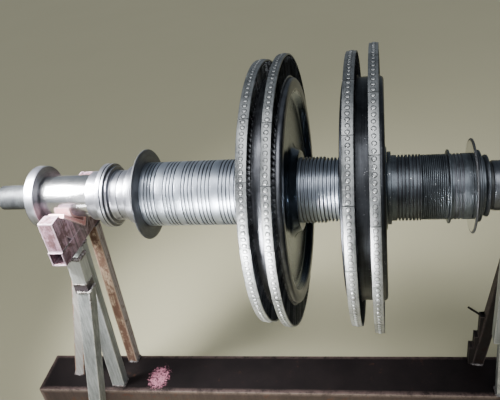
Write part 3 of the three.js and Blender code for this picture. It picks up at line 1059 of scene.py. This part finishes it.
@dataclass
class LeftGlandSleeve:
    """The silver gland sleeve, with banks of narrow sealing grooves between plain lands."""

    bore: float = SHRINK_BORE
    land: float = 86.0
    banks: tuple[tuple[float, ...], ...] = (
        (-330.0, -321.0, -312.0, -301.6),
        (-277.0, -267.8, -259.1, -249.2),
        (-227.7, -219.1, -209.1, -199.3),
        (-183.7, -174.0, -163.9, -154.3),
        (-129.2, -119.6, -109.9, -100.3, -89.2),
        (-68.1, -59.0, -49.9),
    )
    groove_width: float = 2.6
    groove_depth: float = 3.4

    def build(self) -> None:
        """Turn the sleeve and cut its grooves."""
        span = Span.of("gland_sleeve_left")
        lathe = Turning(SLEEVE_STEEL, fillet=0.9).to(span.start, self.bore).to(span.start, self.land)
        for bank in self.banks:
            for x in bank:
                lathe.groove(x, self.groove_width, self.groove_depth, SOFT_GROOVE_SHADE)
        lathe.to(span.end, self.land).to(span.end, self.bore).build("gland_sleeve_left", sides=144)


@dataclass
class MiddleGlandSleeve:
    """The gland sleeve between the wheels, with pointed sealing fins at an even pitch."""

    bore: float = SHRINK_BORE
    tip: float = 84.1
    low_tip: float = 81.0
    step: float = 136.4
    pitch: float = 9.1
    fin: float = 2.6
    depth: float = 6.5
    first_land: float = 5.0
    last_land: float = 3.0
    walls: tuple[float, float] = (0.9, 1.2)

    def build(self) -> None:
        """Turn the sleeve fin by fin."""
        span = Span.of("gland_sleeve_middle")
        steep, slanted = self.walls
        x = span.start + self.first_land
        lathe = Turning(SLEEVE_STEEL, 0.4).to(span.start, self.bore).to(span.start, self.tip).to(x, self.tip)
        while x + self.pitch < span.end - self.last_land:
            top = self.tip if x + self.pitch < self.step else self.low_tip
            lathe.to(x + steep, top - self.depth, GROOVE_SHADE, fillet=0.8)
            lathe.to(x + self.pitch - self.fin - slanted, top - self.depth, fillet=0.8)
            lathe.to(x + self.pitch - self.fin, top).to(x + self.pitch, top)
            x += self.pitch
        lathe.to(span.end, self.low_tip).to(span.end, self.bore).build("gland_sleeve_middle", sides=144)


@dataclass
class RightGlandSleeve:
    """The dark gland sleeve: a collar, deep grooves, fine fins and one tall thin fin."""

    bore: float = SHRINK_BORE
    collar: tuple[float, float] = (290.2, 90.0)
    high: float = 80.9
    low: float = 79.4
    deep_grooves: tuple[float, ...] = (304.9, 313.0, 321.1, 330.1, 338.6, 347.1, 354.0)
    fin_start: float = 360.0
    fin_land: float = 1.0
    fin_pitch: float = 4.3
    fin_depth: float = 2.6
    fin_wall: float = 0.8
    fin_tip: float = 2.4
    fin_foot: float = 3.4
    tall_fin: tuple[float, float, float] = (418.6, 425.5, 89.3)
    tall_fin_bevel: float = 1.4
    tall_fin_room: float = 2.0
    hollow: tuple[float, float, float] = (3.0, 2.5, 1.5)
    last_step: float = 1.5
    last_fins: tuple[float, ...] = (433.5, 441.5, 449.5)

    def build(self) -> None:
        """Turn the sleeve from its collar to the slinger disc."""
        span = Span.of("gland_sleeve_right")
        collar_end, collar_radius = self.collar
        lathe = Turning(DARK_STEEL, fillet=0.7).to(span.start, self.bore).to(span.start, collar_radius)
        lathe.to(collar_end, collar_radius, fillet=1.5).to(collar_end, self.high)
        for x in self.deep_grooves:
            lathe.groove(x, width=3.6, depth=5.0, floor=GROOVE_SHADE)
        x = self.fin_start
        lathe.to(x - self.fin_land, self.high).to(x - self.fin_land, self.low)
        while x + self.fin_pitch < self.tall_fin[0] - self.tall_fin_room:
            self._fine_fin(lathe, x)
            x += self.fin_pitch
        self._tall_fin(lathe)
        for x in self.last_fins:
            lathe.groove(x, width=4.6, depth=2.6, floor=GROOVE_SHADE)
        lathe.to(span.end, self.high - self.last_step).to(span.end, self.bore)
        lathe.build("gland_sleeve_right", sides=144)

    def _fine_fin(self, lathe: Turning, x: float) -> None:
        """Draw one fine fin and the hollow before it.

        Args:
            lathe: the sleeve's turning.
            x: where the hollow starts along the axis, in millimetres.
        """
        floor, end = self.low - self.fin_depth, x + self.fin_pitch
        lathe.to(x + self.fin_wall, floor, GROOVE_SHADE, 0.5).to(end - self.fin_foot, floor, fillet=0.5)
        lathe.to(end - self.fin_tip, self.low).to(end, self.low)

    def _tall_fin(self, lathe: Turning) -> None:
        """Draw the tall fin and the hollow at its foot.

        Args:
            lathe: the sleeve's turning.
        """
        start, end, radius = self.tall_fin
        bevel = self.tall_fin_bevel
        length, deep, shallow = self.hollow
        lathe.to(start - length, self.low - deep, GROOVE_SHADE).to(start, self.low - shallow)
        lathe.to(start + bevel, radius, fillet=1.0).to(end - bevel, radius, fillet=1.0)
        lathe.to(end, self.high - self.last_step)


@dataclass
class Wheel:
    """A forged wheel: rim with rounded shoulders, dished polished web and a hub with a lip."""

    number: int
    rim: Finish = RIM_STEEL
    rim_depth: float = 30.0
    recess: float = 21.0
    hub_lip: float = 101.7
    hub_rise: float = 3.0
    bore: float = 56.0
    shoulder: float = 11.0
    hub_slope: float = 14.0
    rim_slope: float = 12.0

    def build(self) -> None:
        """Turn the wheel's two dished sides and its rim."""
        node = f"wheel_{self.number}"
        span = Span.of(node)
        left, right = span.start + self.hub_rise, span.end - self.hub_rise
        web_outer = span.radius - self.rim_depth
        lathe = Turning(self.rim, fillet=1.0, arc_steps=5).to(span.start, self.bore)
        lathe.to(span.start, self.hub_lip, self.rim, fillet=3.0)
        self._web(lathe, left + self.recess, web_outer, outward=True)
        lathe.to(left, web_outer, WEB_STEEL, fillet=5.0).to(left, span.radius, self.rim, fillet=2.5)
        lathe.to(right, span.radius, self.rim, self.shoulder).to(right, web_outer, self.rim, fillet=5.0)
        self._web(lathe, right - self.recess, web_outer, outward=False)
        lathe.to(span.end, self.hub_lip, WEB_STEEL, fillet=3.0).to(span.end, self.bore, self.rim)
        lathe.build(node, sides=192)

    def _web(self, lathe: Turning, floor: float, outer: float, outward: bool) -> None:
        """Draw the floor of the dish between the hub and the rim.

        Args:
            lathe: the wheel's turning.
            floor: where the dish's floor lies along the axis, in millimetres.
            outer: the rim's inner radius.
            outward: whether the profile runs from the hub to the rim here.
        """
        ends = [(self.hub_lip + self.hub_slope, 14.0), (outer - self.rim_slope, 9.0)]
        for r, fillet in ends if outward else reversed(ends):
            lathe.to(floor, r, WEB_STEEL, fillet)


@dataclass
class BladedRow:
    """A row of curved impulse blades on their root blocks, under a riveted shroud band."""

    number: int
    segments: int
    tenons: int
    first_joint: float
    rim: float
    root: float = 5.0
    root_gap: float = 0.3
    root_chamfer: float = 1.6
    root_overhang: float = 0.6
    turning: float = 58.0
    thickness: float = 0.42
    thinnest: float = 0.3
    roundness: float = 0.8
    set_back: float = 2.0
    side_gap: float = 1.0
    tip_gap: float = 0.2
    foot_depth: float = 0.5
    section_steps: int = 7
    shroud: float = 4.0
    band_edge: float = 0.9
    edge_shape: tuple[float, float] = (0.4, 0.35)
    segment_steps: int = 12
    joint_gap: float = 1.7
    tenon_radius: float = 4.5
    tenon_height: float = 1.4
    tenon_room: float = 1.5
    tenon_sides: int = 12
    tenon_ring: tuple[tuple[float, float], ...] = ((1.24, 0.02), (1.22, 0.12), (1.0, 0.12))
    tenon_shape: tuple[tuple[float, float], ...] = ((1.0, 0.35), (0.93, 0.62), (0.72, 0.88), (0.4, 1.0))
    tenon_crown: float = 1.03

    def build(self) -> None:
        """Build the blades, the root blocks, the band and its tenons."""
        self.band = Span.of(f"shroud_band_{self.number}")
        self.count = self.segments * self.tenons
        self.pitch = FULL_TURN / self.count
        self.start_angle = math.radians(self.first_joint)
        self.draws = random.Random(40 + self.number)
        self._build_blades()
        self._build_band()

    def _section(self, width: float, pitch: float) -> list[tuple[float, float]]:
        """Give a blade's crescent section.

        Args:
            width: the blade's width along the axis, in millimetres.
            pitch: the way from one blade to the next at the foot.

        Returns:
            The section's points, along the axis and round it, in millimetres.
        """
        half = math.radians(self.turning)
        radius = width / 2 / math.sin(half)
        hollow: list[tuple[float, float]] = []
        back: list[tuple[float, float]] = []
        for k in range(self.section_steps + 1):
            t = k / self.section_steps
            swing = -half + 2 * half * t
            x, y = radius * math.sin(swing), radius * (math.cos(swing) - math.cos(half))
            full = pitch * self.thickness * math.sin(math.pi * t) ** self.roundness / 2 + self.thinnest
            hollow.append((x, y - full - self.set_back))
            back.append((x, y + full - self.set_back))
        return hollow + back[::-1]

    def _build_blades(self) -> None:
        """Join all the blades and root blocks of the row in one mesh."""
        shell = Shell()
        tip = self.band.radius - self.tenon_room - self.shroud - self.tip_gap
        foot = self.rim + self.root - self.foot_depth
        left, right = self.band.start + self.side_gap, self.band.end - self.side_gap
        middle = (left + right) / 2
        section = self._section(right - left, self.pitch * foot)
        faces = joined_rings(2, len(section))
        for i in range(self.count):
            angle = self.start_angle + (i + 0.5) * self.pitch
            tone = self.draws.random()
            points = [round_axis(middle + x, r, angle + y / r) for r in (foot, tip) for x, y in section]
            shell.add(points, faces, BLADE_STEEL, tone=tone)
            self._add_root(shell, angle, tone)
        made = shell.build(f"blade_row_{self.number}_blades", Body.ROTOR, 50.0)
        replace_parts(made, f"blade_row_{self.number}")

    def _add_root(self, shell: Shell, angle: float, tone: float) -> None:
        """Add one root block with bevelled shoulders, and a hairline gap to the next.

        Args:
            shell: the mesh that takes the block.
            angle: the block's middle round the axis, in radians.
            tone: how light its steel is, from 0 to 1.
        """
        half = self.pitch / 2 - self.root_gap / self.rim
        low, high, chamfer = self.rim + self.root_gap, self.rim + self.root, self.root_chamfer
        left = self.band.start + self.side_gap - self.root_overhang
        right = self.band.end - self.side_gap + self.root_overhang
        outline = [(left, low), (left, high - chamfer), (left + chamfer, high)]
        outline += [(right - chamfer, high), (right, high - chamfer), (right, low)]
        points = [round_axis(x, r, angle + turn) for turn in (-half, half) for x, r in outline]
        size = len(outline)
        shell.add(points, joined_rings(2, size) + end_faces(2, size), ROOT_STEEL, tone=tone)

    def _build_band(self) -> None:
        """Join the shroud's segments and their tenons in one mesh."""
        shell = Shell()
        outer = self.band.radius - self.tenon_room
        inner = outer - self.shroud
        left, right, edge = self.band.start, self.band.end, self.band_edge
        inward, high = edge * self.edge_shape[0], outer - edge * self.edge_shape[1]
        outline = [(left, inner), (left, outer - edge), (left + inward, high), (left + edge, outer)]
        outline += [(right - edge, outer), (right - inward, high), (right, outer - edge), (right, inner)]
        gap = self.joint_gap / self.band.radius
        span = FULL_TURN / self.segments
        rings, size = self.segment_steps + 1, len(outline)
        faces = end_faces(rings, size, turned=True) + joined_rings(rings, size, turned=True)
        for segment in range(self.segments):
            start = self.start_angle + segment * span
            tone = self.draws.uniform(0.25, 0.85)
            angles = [start + gap / 2 + (span - gap) * k / self.segment_steps for k in range(rings)]
            points = [round_axis(x, r, angle) for angle in angles for x, r in outline]
            shell.add(points, faces, BAND_STEEL, tone=tone)
            for tenon in range(self.tenons):
                self._add_tenon(shell, start + (tenon + 0.5) * self.pitch, outer, tone)
        made = shell.build(f"shroud_band_{self.number}_riveted", Body.ROTOR)
        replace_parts(made, f"shroud_band_{self.number}")

    def _add_tenon(self, shell: Shell, angle: float, surface: float, tone: float) -> None:
        """Add a domed tenon head in its dark ring.

        Args:
            shell: the mesh that takes the head.
            angle: its place round the axis, in radians.
            surface: the band's radius, in millimetres.
            tone: how light its steel is, from 0 to 1.
        """
        sides = self.tenon_sides
        middle = (self.band.start + self.band.end) / 2 + self.draws.uniform(-0.4, 0.4)
        radius = self.tenon_radius * self.draws.uniform(0.93, 1.05)
        height = self.tenon_height * self.draws.uniform(0.85, 1.0)
        rings = [(radius * wide, tall) for wide, tall in self.tenon_ring]
        rings += [(radius * wide, height * tall) for wide, tall in self.tenon_shape]
        points: list[Point] = []
        for wide, tall in rings:
            for k in range(sides):
                turn = FULL_TURN * k / sides
                x, y = wide * math.cos(turn), wide * math.sin(turn)
                points.append(round_axis(middle + x, surface + tall, angle + y / surface))
        points.append(round_axis(middle, surface + height * self.tenon_crown, angle))
        top = (len(rings) - 1) * sides
        faces = joined_rings(len(rings), sides)
        faces += [(top + k, top + (k + 1) % sides, len(points) - 1) for k in range(sides)]
        shade = [TENON_SHADE] * (len(self.tenon_ring) - 1) * sides
        shell.add(points, faces, shade + [TENON_STEEL] * (len(faces) - len(shade)), tone=tone)


@dataclass
class SteelMember:
    """A piece of the stand made from the frame's own solid, with rounded corners and worn edges."""

    node: str
    finish: Finish
    bevel: float = 1.4
    finish_of: Optional[Callable[[Vector], Optional[Finish]]] = None
    margin: float = 4.0
    narrow_margin: float = 1.2
    widest_on_shaped: float = 2.0
    least_room: float = 0.75
    least_edge: float = 0.5
    joined_within: float = 1e-5
    flat_angle: float = 1.5
    corner_angle: float = 20.0
    sharp_angle: float = 50.0

    def build(self) -> None:
        """Round the corners, mark the edges and put the piece in its node's place."""
        work = bmesh.new()
        work.from_mesh(frame["nodes"][self.node].data)
        edge_layer = work.verts.layers.float.new("edge")
        bmesh.ops.remove_doubles(work, verts=work.verts, dist=self.joined_within)
        bmesh.ops.dissolve_limit(
            work, angle_limit=math.radians(self.flat_angle), verts=work.verts, edges=work.edges,
            use_dissolve_boundaries=False,
        )
        least = math.radians(self.corner_angle)
        bmesh.ops.bevel(
            work, geom=[e for e in work.edges if e.is_manifold and e.calc_face_angle(0) > least],
            offset=self.bevel * MM, segments=2, profile=0.5, affect="EDGES", clamp_overlap=True,
        )
        plain = [f for f in work.faces if self._takes_margin(f, self.margin)]
        shaped = [f for f in work.faces if len(f.verts) > 4 and self._takes_margin(f, self.narrow_margin)]
        for faces, margin in ((plain, self.margin), (shaped, self.narrow_margin)):
            bmesh.ops.inset_individual(work, faces=faces, thickness=margin * MM, use_even_offset=True)
        calm = {v for f in plain + shaped for v in f.verts}
        for vertex in work.verts:
            vertex[edge_layer] = 0.0 if vertex in calm else 1.0
        order: list[Finish] = [self.finish]
        for face in work.faces:
            chosen = self.finish_of and self.finish_of(face.normal) or self.finish
            if chosen not in order:
                order.append(chosen)
            face.material_index = order.index(chosen)
            face.smooth = True
        mesh = bpy.data.meshes.new(f"{self.node}_steel")
        work.to_mesh(mesh)
        work.free()
        for finish in order:
            mesh.materials.append(finish.material())
        mesh.set_sharp_from_angle(angle=math.radians(self.sharp_angle))
        made = linked(f"{self.node}_steel", mesh)
        made.modifiers.new("even_faces", "WEIGHTED_NORMAL").keep_sharp = True
        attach(made, Body.STAND.value)
        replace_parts(made, self.node)

    def _takes_margin(self, face: bmesh.types.BMFace, margin: float) -> bool:
        """Tell whether a face has room for a margin all round.

        Args:
            face: the face.
            margin: the margin, in millimetres. A face of many corners takes a narrow one only.

        Returns:
            Whether the margin fits.
        """
        if len(face.verts) > 4 and margin > self.widest_on_shaped:
            return False
        if face.calc_area() / max(face.calc_perimeter(), 1e-9) < margin * MM * self.least_room:
            return False
        return min(e.calc_length() for e in face.edges) > margin * MM * self.least_edge


@dataclass
class BaseBeam:
    """The long hollow beam under both trestles, with a dark top and rusty sides."""

    top: PaintedFinish = BEAM_TOP
    front: PaintedFinish = BEAM_SIDE
    bevel: float = 4.0
    margin: float = 12.0

    def build(self) -> None:
        """Dress the beam."""
        SteelMember("base_beam", self.top, self.bevel, self._finish_of, self.margin).build()

    def _finish_of(self, normal: Vector) -> Optional[Finish]:
        """Give the sides the rusty finish."""
        return self.front if abs(normal.y) > 0.8 else None


@dataclass(frozen=True)
class WeldBead:
    """A rippled bead of weld metal along a path in millimetres."""

    name: str
    path: tuple[Point, ...]
    radius: float = 3.2
    ragged: float = 0.25
    finish: Finish = WELD
    sides: int = 8
    step: float = 1.7
    least_steps: int = 4
    ripple: tuple[float, float, float] = (0.82, 0.2, 0.85)
    raggedness: float = 0.6
    end_taper: float = 0.55
    sharp_angle: float = 70.0

    def build(self) -> None:
        """Lay lumpy rings along the path and close the ends."""
        draws = random.Random(self.name)
        shell = Shell()
        for start, end in zip(self.path, self.path[1:]):
            self._run(shell, Vector(start), Vector(end), draws)
        shell.build(self.name, Body.STAND, self.sharp_angle)

    def _run(self, shell: Shell, start: Vector, end: Vector, draws: random.Random) -> None:
        """Lay one straight run of the bead.

        Args:
            shell: the mesh that takes the run.
            start: where the run starts, in millimetres.
            end: where it ends.
            draws: the bead's random draws.
        """
        along = (end - start).normalized()
        side = along.orthogonal().normalized()
        up = along.cross(side)
        steps = max(self.least_steps, int((end - start).length / self.step))
        thin, swing, beat = self.ripple
        points: list[Point] = []
        for k in range(steps + 1):
            swell = thin + swing * abs(math.sin(k * beat))
            swell += draws.uniform(-self.ragged, self.ragged) * self.raggedness
            if k in (0, steps):
                swell *= self.end_taper
            centre = start.lerp(end, k / steps) + side * draws.uniform(-0.5, 0.5) * self.ragged * self.radius
            for n in range(self.sides):
                turn = FULL_TURN * n / self.sides
                reach = self.radius * swell * draws.uniform(0.93, 1.07)
                at = centre + (side * math.cos(turn) + up * math.sin(turn)) * reach
                points.append(tuple(at * MM))
        rings = steps + 1
        shell.add(points, end_faces(rings, self.sides) + joined_rings(rings, self.sides), self.finish)


@dataclass(frozen=True)
class Leg:
    """An angle section of a trestle: its node, its finish, its ridge line and the sizes of its flanges.

    The ridge says on which side the outer corner lies: 1 or -1 along the rotor, then -1 for the front.
    """

    node: str
    finish: Finish
    foot: Point
    top: Point
    size: tuple[float, float]
    ridge: tuple[int, int]
    head_bead: float = 3.0
    foot_bead: float = 3.8
    bead_rise: float = 1.5
    side: Optional[Finish] = None

    def corner_path(self, height: float, clear: float = 1.2) -> tuple[Point, ...]:
        """Give the path round the outside of both flanges.

        Args:
            height: the path's height over the floor, in millimetres.
            clear: how far outside the ridge it runs.

        Returns:
            The path's three points, in millimetres.
        """
        share = (height - self.foot[2]) / (self.top[2] - self.foot[2])
        x, y = (low + (high - low) * share for low, high in zip(self.foot[:2], self.top[:2]))
        right, back = self.ridge
        x, y = x + right * clear, y + back * clear
        return ((x - right * self.size[0], y, height), (x, y, height), (x, y - back * self.size[1], height))

    def build(self) -> None:
        """Dress the leg and weld its foot, where it stands on the beam, and its head."""
        SteelMember(self.node, self.finish, finish_of=self._finish_of).build()
        if self.foot[2] == BEAM_TOP_HEIGHT:
            path = self.corner_path(BEAM_TOP_HEIGHT + self.bead_rise)
            WeldBead(f"{self.node}_foot_weld", path, self.foot_bead, ragged=0.45).build()
        path = self.corner_path(BEARER_UNDERSIDE - self.bead_rise)
        WeldBead(f"{self.node}_head_weld", path, self.head_bead, ragged=0.3).build()

    def _finish_of(self, normal: Vector) -> Optional[Finish]:
        """Give the faces that look along the rotor their own finish, where there is one."""
        return self.side if abs(normal.x) > 0.7 else None


@dataclass
class Trestle:
    """One trestle: a lined V saddle on a square bearer, its legs, its prop and the welds between them."""

    side: str
    legs: tuple[Leg, ...]
    lap: Leg
    rods: tuple[WeldBead, ...] = ()
    bearer_seam: float = 713.0
    post_half: tuple[float, float] = (96.0, 138.0)
    lap_height: float = 545.0
    seam_rise: float = 26.0
    tack_length: float = 62.0

    def build(self) -> None:
        """Dress every member and weld them together."""
        for piece in ("saddle", "saddle_liner", "bearer", "prop_foot"):
            SteelMember(f"{piece}_{self.side}", LINING if piece == "saddle_liner" else PRIMER).build()
        for leg in self.legs:
            leg.build()
        self._weld_saddle()
        self._weld_prop()
        for rod in self.rods:
            rod.build()

    def _weld_saddle(self) -> None:
        """Weld the saddle's posts to the bearer along the face that looks at the wheels."""
        low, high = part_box(f"saddle_{self.side}")
        face = (high.x if self.side == "left" else low.x) / MM
        inner, outer = self.post_half
        for name, ends in (("front", (-outer, -inner)), ("back", (inner, outer))):
            path = tuple((face, y, self.bearer_seam) for y in ends)
            WeldBead(f"saddle_{self.side}_{name}_weld", path, radius=2.4, ragged=0.3).build()

    def _weld_prop(self) -> None:
        """Dress the prop's lower length, with a ragged lap on the upper one and a run of tacks below it."""
        SteelMember(self.lap.node, self.lap.finish).build()
        name = f"prop_{self.side}"
        path = self.lap.corner_path(self.lap_height, clear=0.0)
        WeldBead(f"{name}_lap_weld", path, radius=3.4, ragged=0.9, finish=LAP_WELD).build()
        seam = self.legs[-1].corner_path(self.lap_height + self.seam_rise, clear=0.0)
        WeldBead(f"{name}_seam_weld", seam, radius=2.2, ragged=1.0, finish=LAP_WELD).build()
        corner = (path[1], self.lap.corner_path(self.lap_height - self.tack_length, clear=0.2)[1])
        WeldBead(f"{name}_corner_weld", corner, radius=2.2, ragged=0.9, finish=LAP_WELD).build()


def left_trestle() -> Trestle:
    """Give the left trestle, with a short upper prop length that leans.

    Returns:
        The trestle, with its ridge lines in millimetres.
    """
    legs = (
        Leg("rear_leg_left", RUSTY, (-576.5, 14, 110), (-576.5, 49, 650), (32, 32), (1, -1), side=MAUVE_MILL),
        Leg("front_leg_left", GREY_MILL, (-583, -90, 110), (-576.5, -50, 650), (44, 32), (1, -1)),
        Leg("outer_leg_left", BEIGE_MILL, (-783, -52, 110), (-624.8, -38, 650), (33, 33), (-1, -1)),
        Leg("prop_upper_left", PALE_MILL, (-566.6, -107, 562), (-556, -111.2, 667.7), (43, 41), (1, -1), 6.0),
    )
    lap = Leg("prop_lower_left", GREY_MILL, (-639.8, -159.3, 115), (-544.4, -102.3, 640), (41, 40), (1, -1))
    return Trestle("left", legs, lap)


def right_trestle() -> Trestle:
    """Give the right trestle, with a straight prop and a bent stub of rod.

    Returns:
        The trestle, with its ridge lines in millimetres.
    """
    legs = (
        Leg("rear_leg_right", SHADED_LEG_STEEL, (526, 66, 110), (594, 45, 667), (32, 32), (-1, -1)),
        Leg("front_leg_right", GREY_MILL, (579, -48, 110), (555, -49, 667), (40, 34), (-1, -1)),
        Leg("outer_leg_right", BEIGE_MILL, (774.75, 7.7, 110), (616.55, -38, 650), (33, 33), (1, -1)),
        Leg("prop_upper_right", PALE_MILL, (654.0, -93.8, 10), (568.8, -97, 640), (41, 43), (-1, -1)),
    )
    foot, top = (634.5, -99.6, 115), (563.5, -102.3, 640)
    lap = Leg("prop_lower_right", GREY_MILL, foot, top, (46.3, 48.3), (-1, -1))
    bent = ((503, 80, 338), (540, 80, 307), (542, 80, 268))
    rod = WeldBead("rear_leg_right_rod", bent, radius=3.4, ragged=0.05, finish=SHADED_LEG_STEEL)
    return Trestle("right", legs, lap, (rod,))


@dataclass(frozen=True)
class Daylight:
    """An even light from one direction, with its angular size in degrees."""

    towards: Point = (0.25, -0.6, 1.0)
    strength: float = 1.7
    spread: float = 45.0

    def build(self) -> None:
        """Light the room."""
        data = bpy.data.lights.new("daylight", "SUN")
        data.energy, data.angle = self.strength, math.radians(self.spread)
        light = linked("daylight", data)
        light.rotation_mode = "QUATERNION"
        light.rotation_quaternion = Vector(self.towards).to_track_quat("Z", "Y")


@dataclass(frozen=True)
class Panel:
    """A rectangular light: its place, the point that it faces, its sizes, its power and its spread."""

    name: str
    at: Point
    aim: Point
    size: tuple[float, float]
    power: float
    spread: float = 180.0

    def build(self) -> None:
        """Hang the light, out of the camera's view."""
        data = bpy.data.lights.new(self.name, "AREA")
        data.shape, data.energy, data.spread = "RECTANGLE", self.power, math.radians(self.spread)
        data.size, data.size_y = self.size
        light = linked(self.name, data)
        light.location = self.at
        light.rotation_mode = "QUATERNION"
        light.rotation_quaternion = (Vector(self.aim) - Vector(self.at)).to_track_quat("-Z", "Y")
        light.visible_camera = False


@dataclass
class Studio:
    """The camera, the lights and the plain pale floor, in metres and degrees."""

    lens: float = 41.292
    sensor: float = 36.0
    clip: tuple[float, float] = (0.05, 100.0)
    location: Point = (0.2779, -1.2352, 1.5768)
    pitch: float = -32.0
    yaw: float = 13.377
    tip: float = 0.842
    roll: float = -1.473
    floor_size: float = 40.0
    floor_level: float = -0.0005
    room_colour: Colour = (0.47, 0.54, 0.61)
    room_strength: float = 0.32
    lights: tuple[Union[Daylight, Panel], ...] = (
        Daylight(),
        Panel("front_fill", (-0.6, -3.0, 1.6), (0.0, 0.0, 0.7), (2.4, 1.6), 14.0),
        Panel("upper_strip", (-0.7, -0.72, 3.3), (-0.4, 0.0, 0.8), (1.6, 0.06), 22.0),
        Panel("lower_strip", (-0.6, -1.41, 0.29), (-0.3, 0.0, 0.8), (1.4, 0.04), 9.0),
        Panel("journal_lamp", (-0.84, -0.2, 1.2), (-0.6, 0.0, 0.84), (0.3, 0.3), 19.0, 84.0),
        Panel("low_left", (-0.32, -1.34, 0.6), (-0.03, -0.33, 0.78), (0.3, 0.3), 5.0, 42.0),
    )

    def build(self) -> None:
        """Set up the whole studio."""
        self._camera()
        self._floor()
        self._room()
        for light in self.lights:
            light.build()

    def _camera(self) -> None:
        """Stand the camera where the photograph was taken."""
        data = bpy.data.cameras.new("camera")
        data.lens, data.sensor_width, data.sensor_fit = self.lens, self.sensor, "HORIZONTAL"
        data.clip_start, data.clip_end = self.clip
        camera = linked("camera", data)
        turns = Matrix.Identity(4)
        for degrees, axis in ((self.pitch, "X"), (self.yaw, "Z"), (90.0 - self.tip, "X"), (self.roll, "Z")):
            turns = turns @ Matrix.Rotation(math.radians(degrees), 4, axis)
        camera.matrix_world = Matrix.Translation(self.location) @ turns
        bpy.context.scene.camera = camera

    def _floor(self) -> None:
        """Lay the floor."""
        half = self.floor_size / 2
        corners = [(-half, -half, 0), (half, -half, 0), (half, half, 0), (-half, half, 0)]
        mesh = bpy.data.meshes.new("floor")
        mesh.from_pydata(corners, [], [(0, 1, 2, 3)])
        mesh.materials.append(FLOOR.material())
        floor = linked("floor", mesh)
        floor.location.z = self.floor_level

    def _room(self) -> None:
        """Fill the room with a soft grey light."""
        world = bpy.data.worlds.new("room")
        world.use_nodes = True
        background = world.node_tree.nodes["Background"]
        background.inputs["Color"].default_value = (*self.room_colour, 1.0)
        background.inputs["Strength"].default_value = self.room_strength
        bpy.context.scene.world = world


def assemblies() -> Iterable[object]:
    """List every sub-assembly.

    Returns:
        The sub-assemblies, in building order.
    """
    yield Studio()
    yield Shaft()
    yield ShaftRings()
    yield SlingerDisc("slinger_left")
    yield SlingerDisc("slinger_right", DISC_MIRROR)
    yield LeftGlandSleeve()
    yield MiddleGlandSleeve()
    yield RightGlandSleeve()
    yield Wheel(1)
    yield Wheel(2, RIM_SHADE)
    yield BladedRow(1, segments=15, tenons=10, first_joint=11.13, rim=284.5)
    yield BladedRow(2, segments=16, tenons=9, first_joint=11.05, rim=284.5)
    yield BladedRow(3, segments=15, tenons=10, first_joint=26.3, rim=273.5)
    yield BladedRow(4, segments=16, tenons=9, first_joint=19.89, rim=273.5)
    yield BaseBeam()
    yield left_trestle()
    yield right_trestle()


def main() -> None:
    """Build everything."""
    logging.basicConfig(level=logging.INFO, format="%(name)s: %(message)s")
    for assembly in assemblies():
        assembly.build()
        log.info("built %s", assembly)


if __name__ == "__main__":
    main()
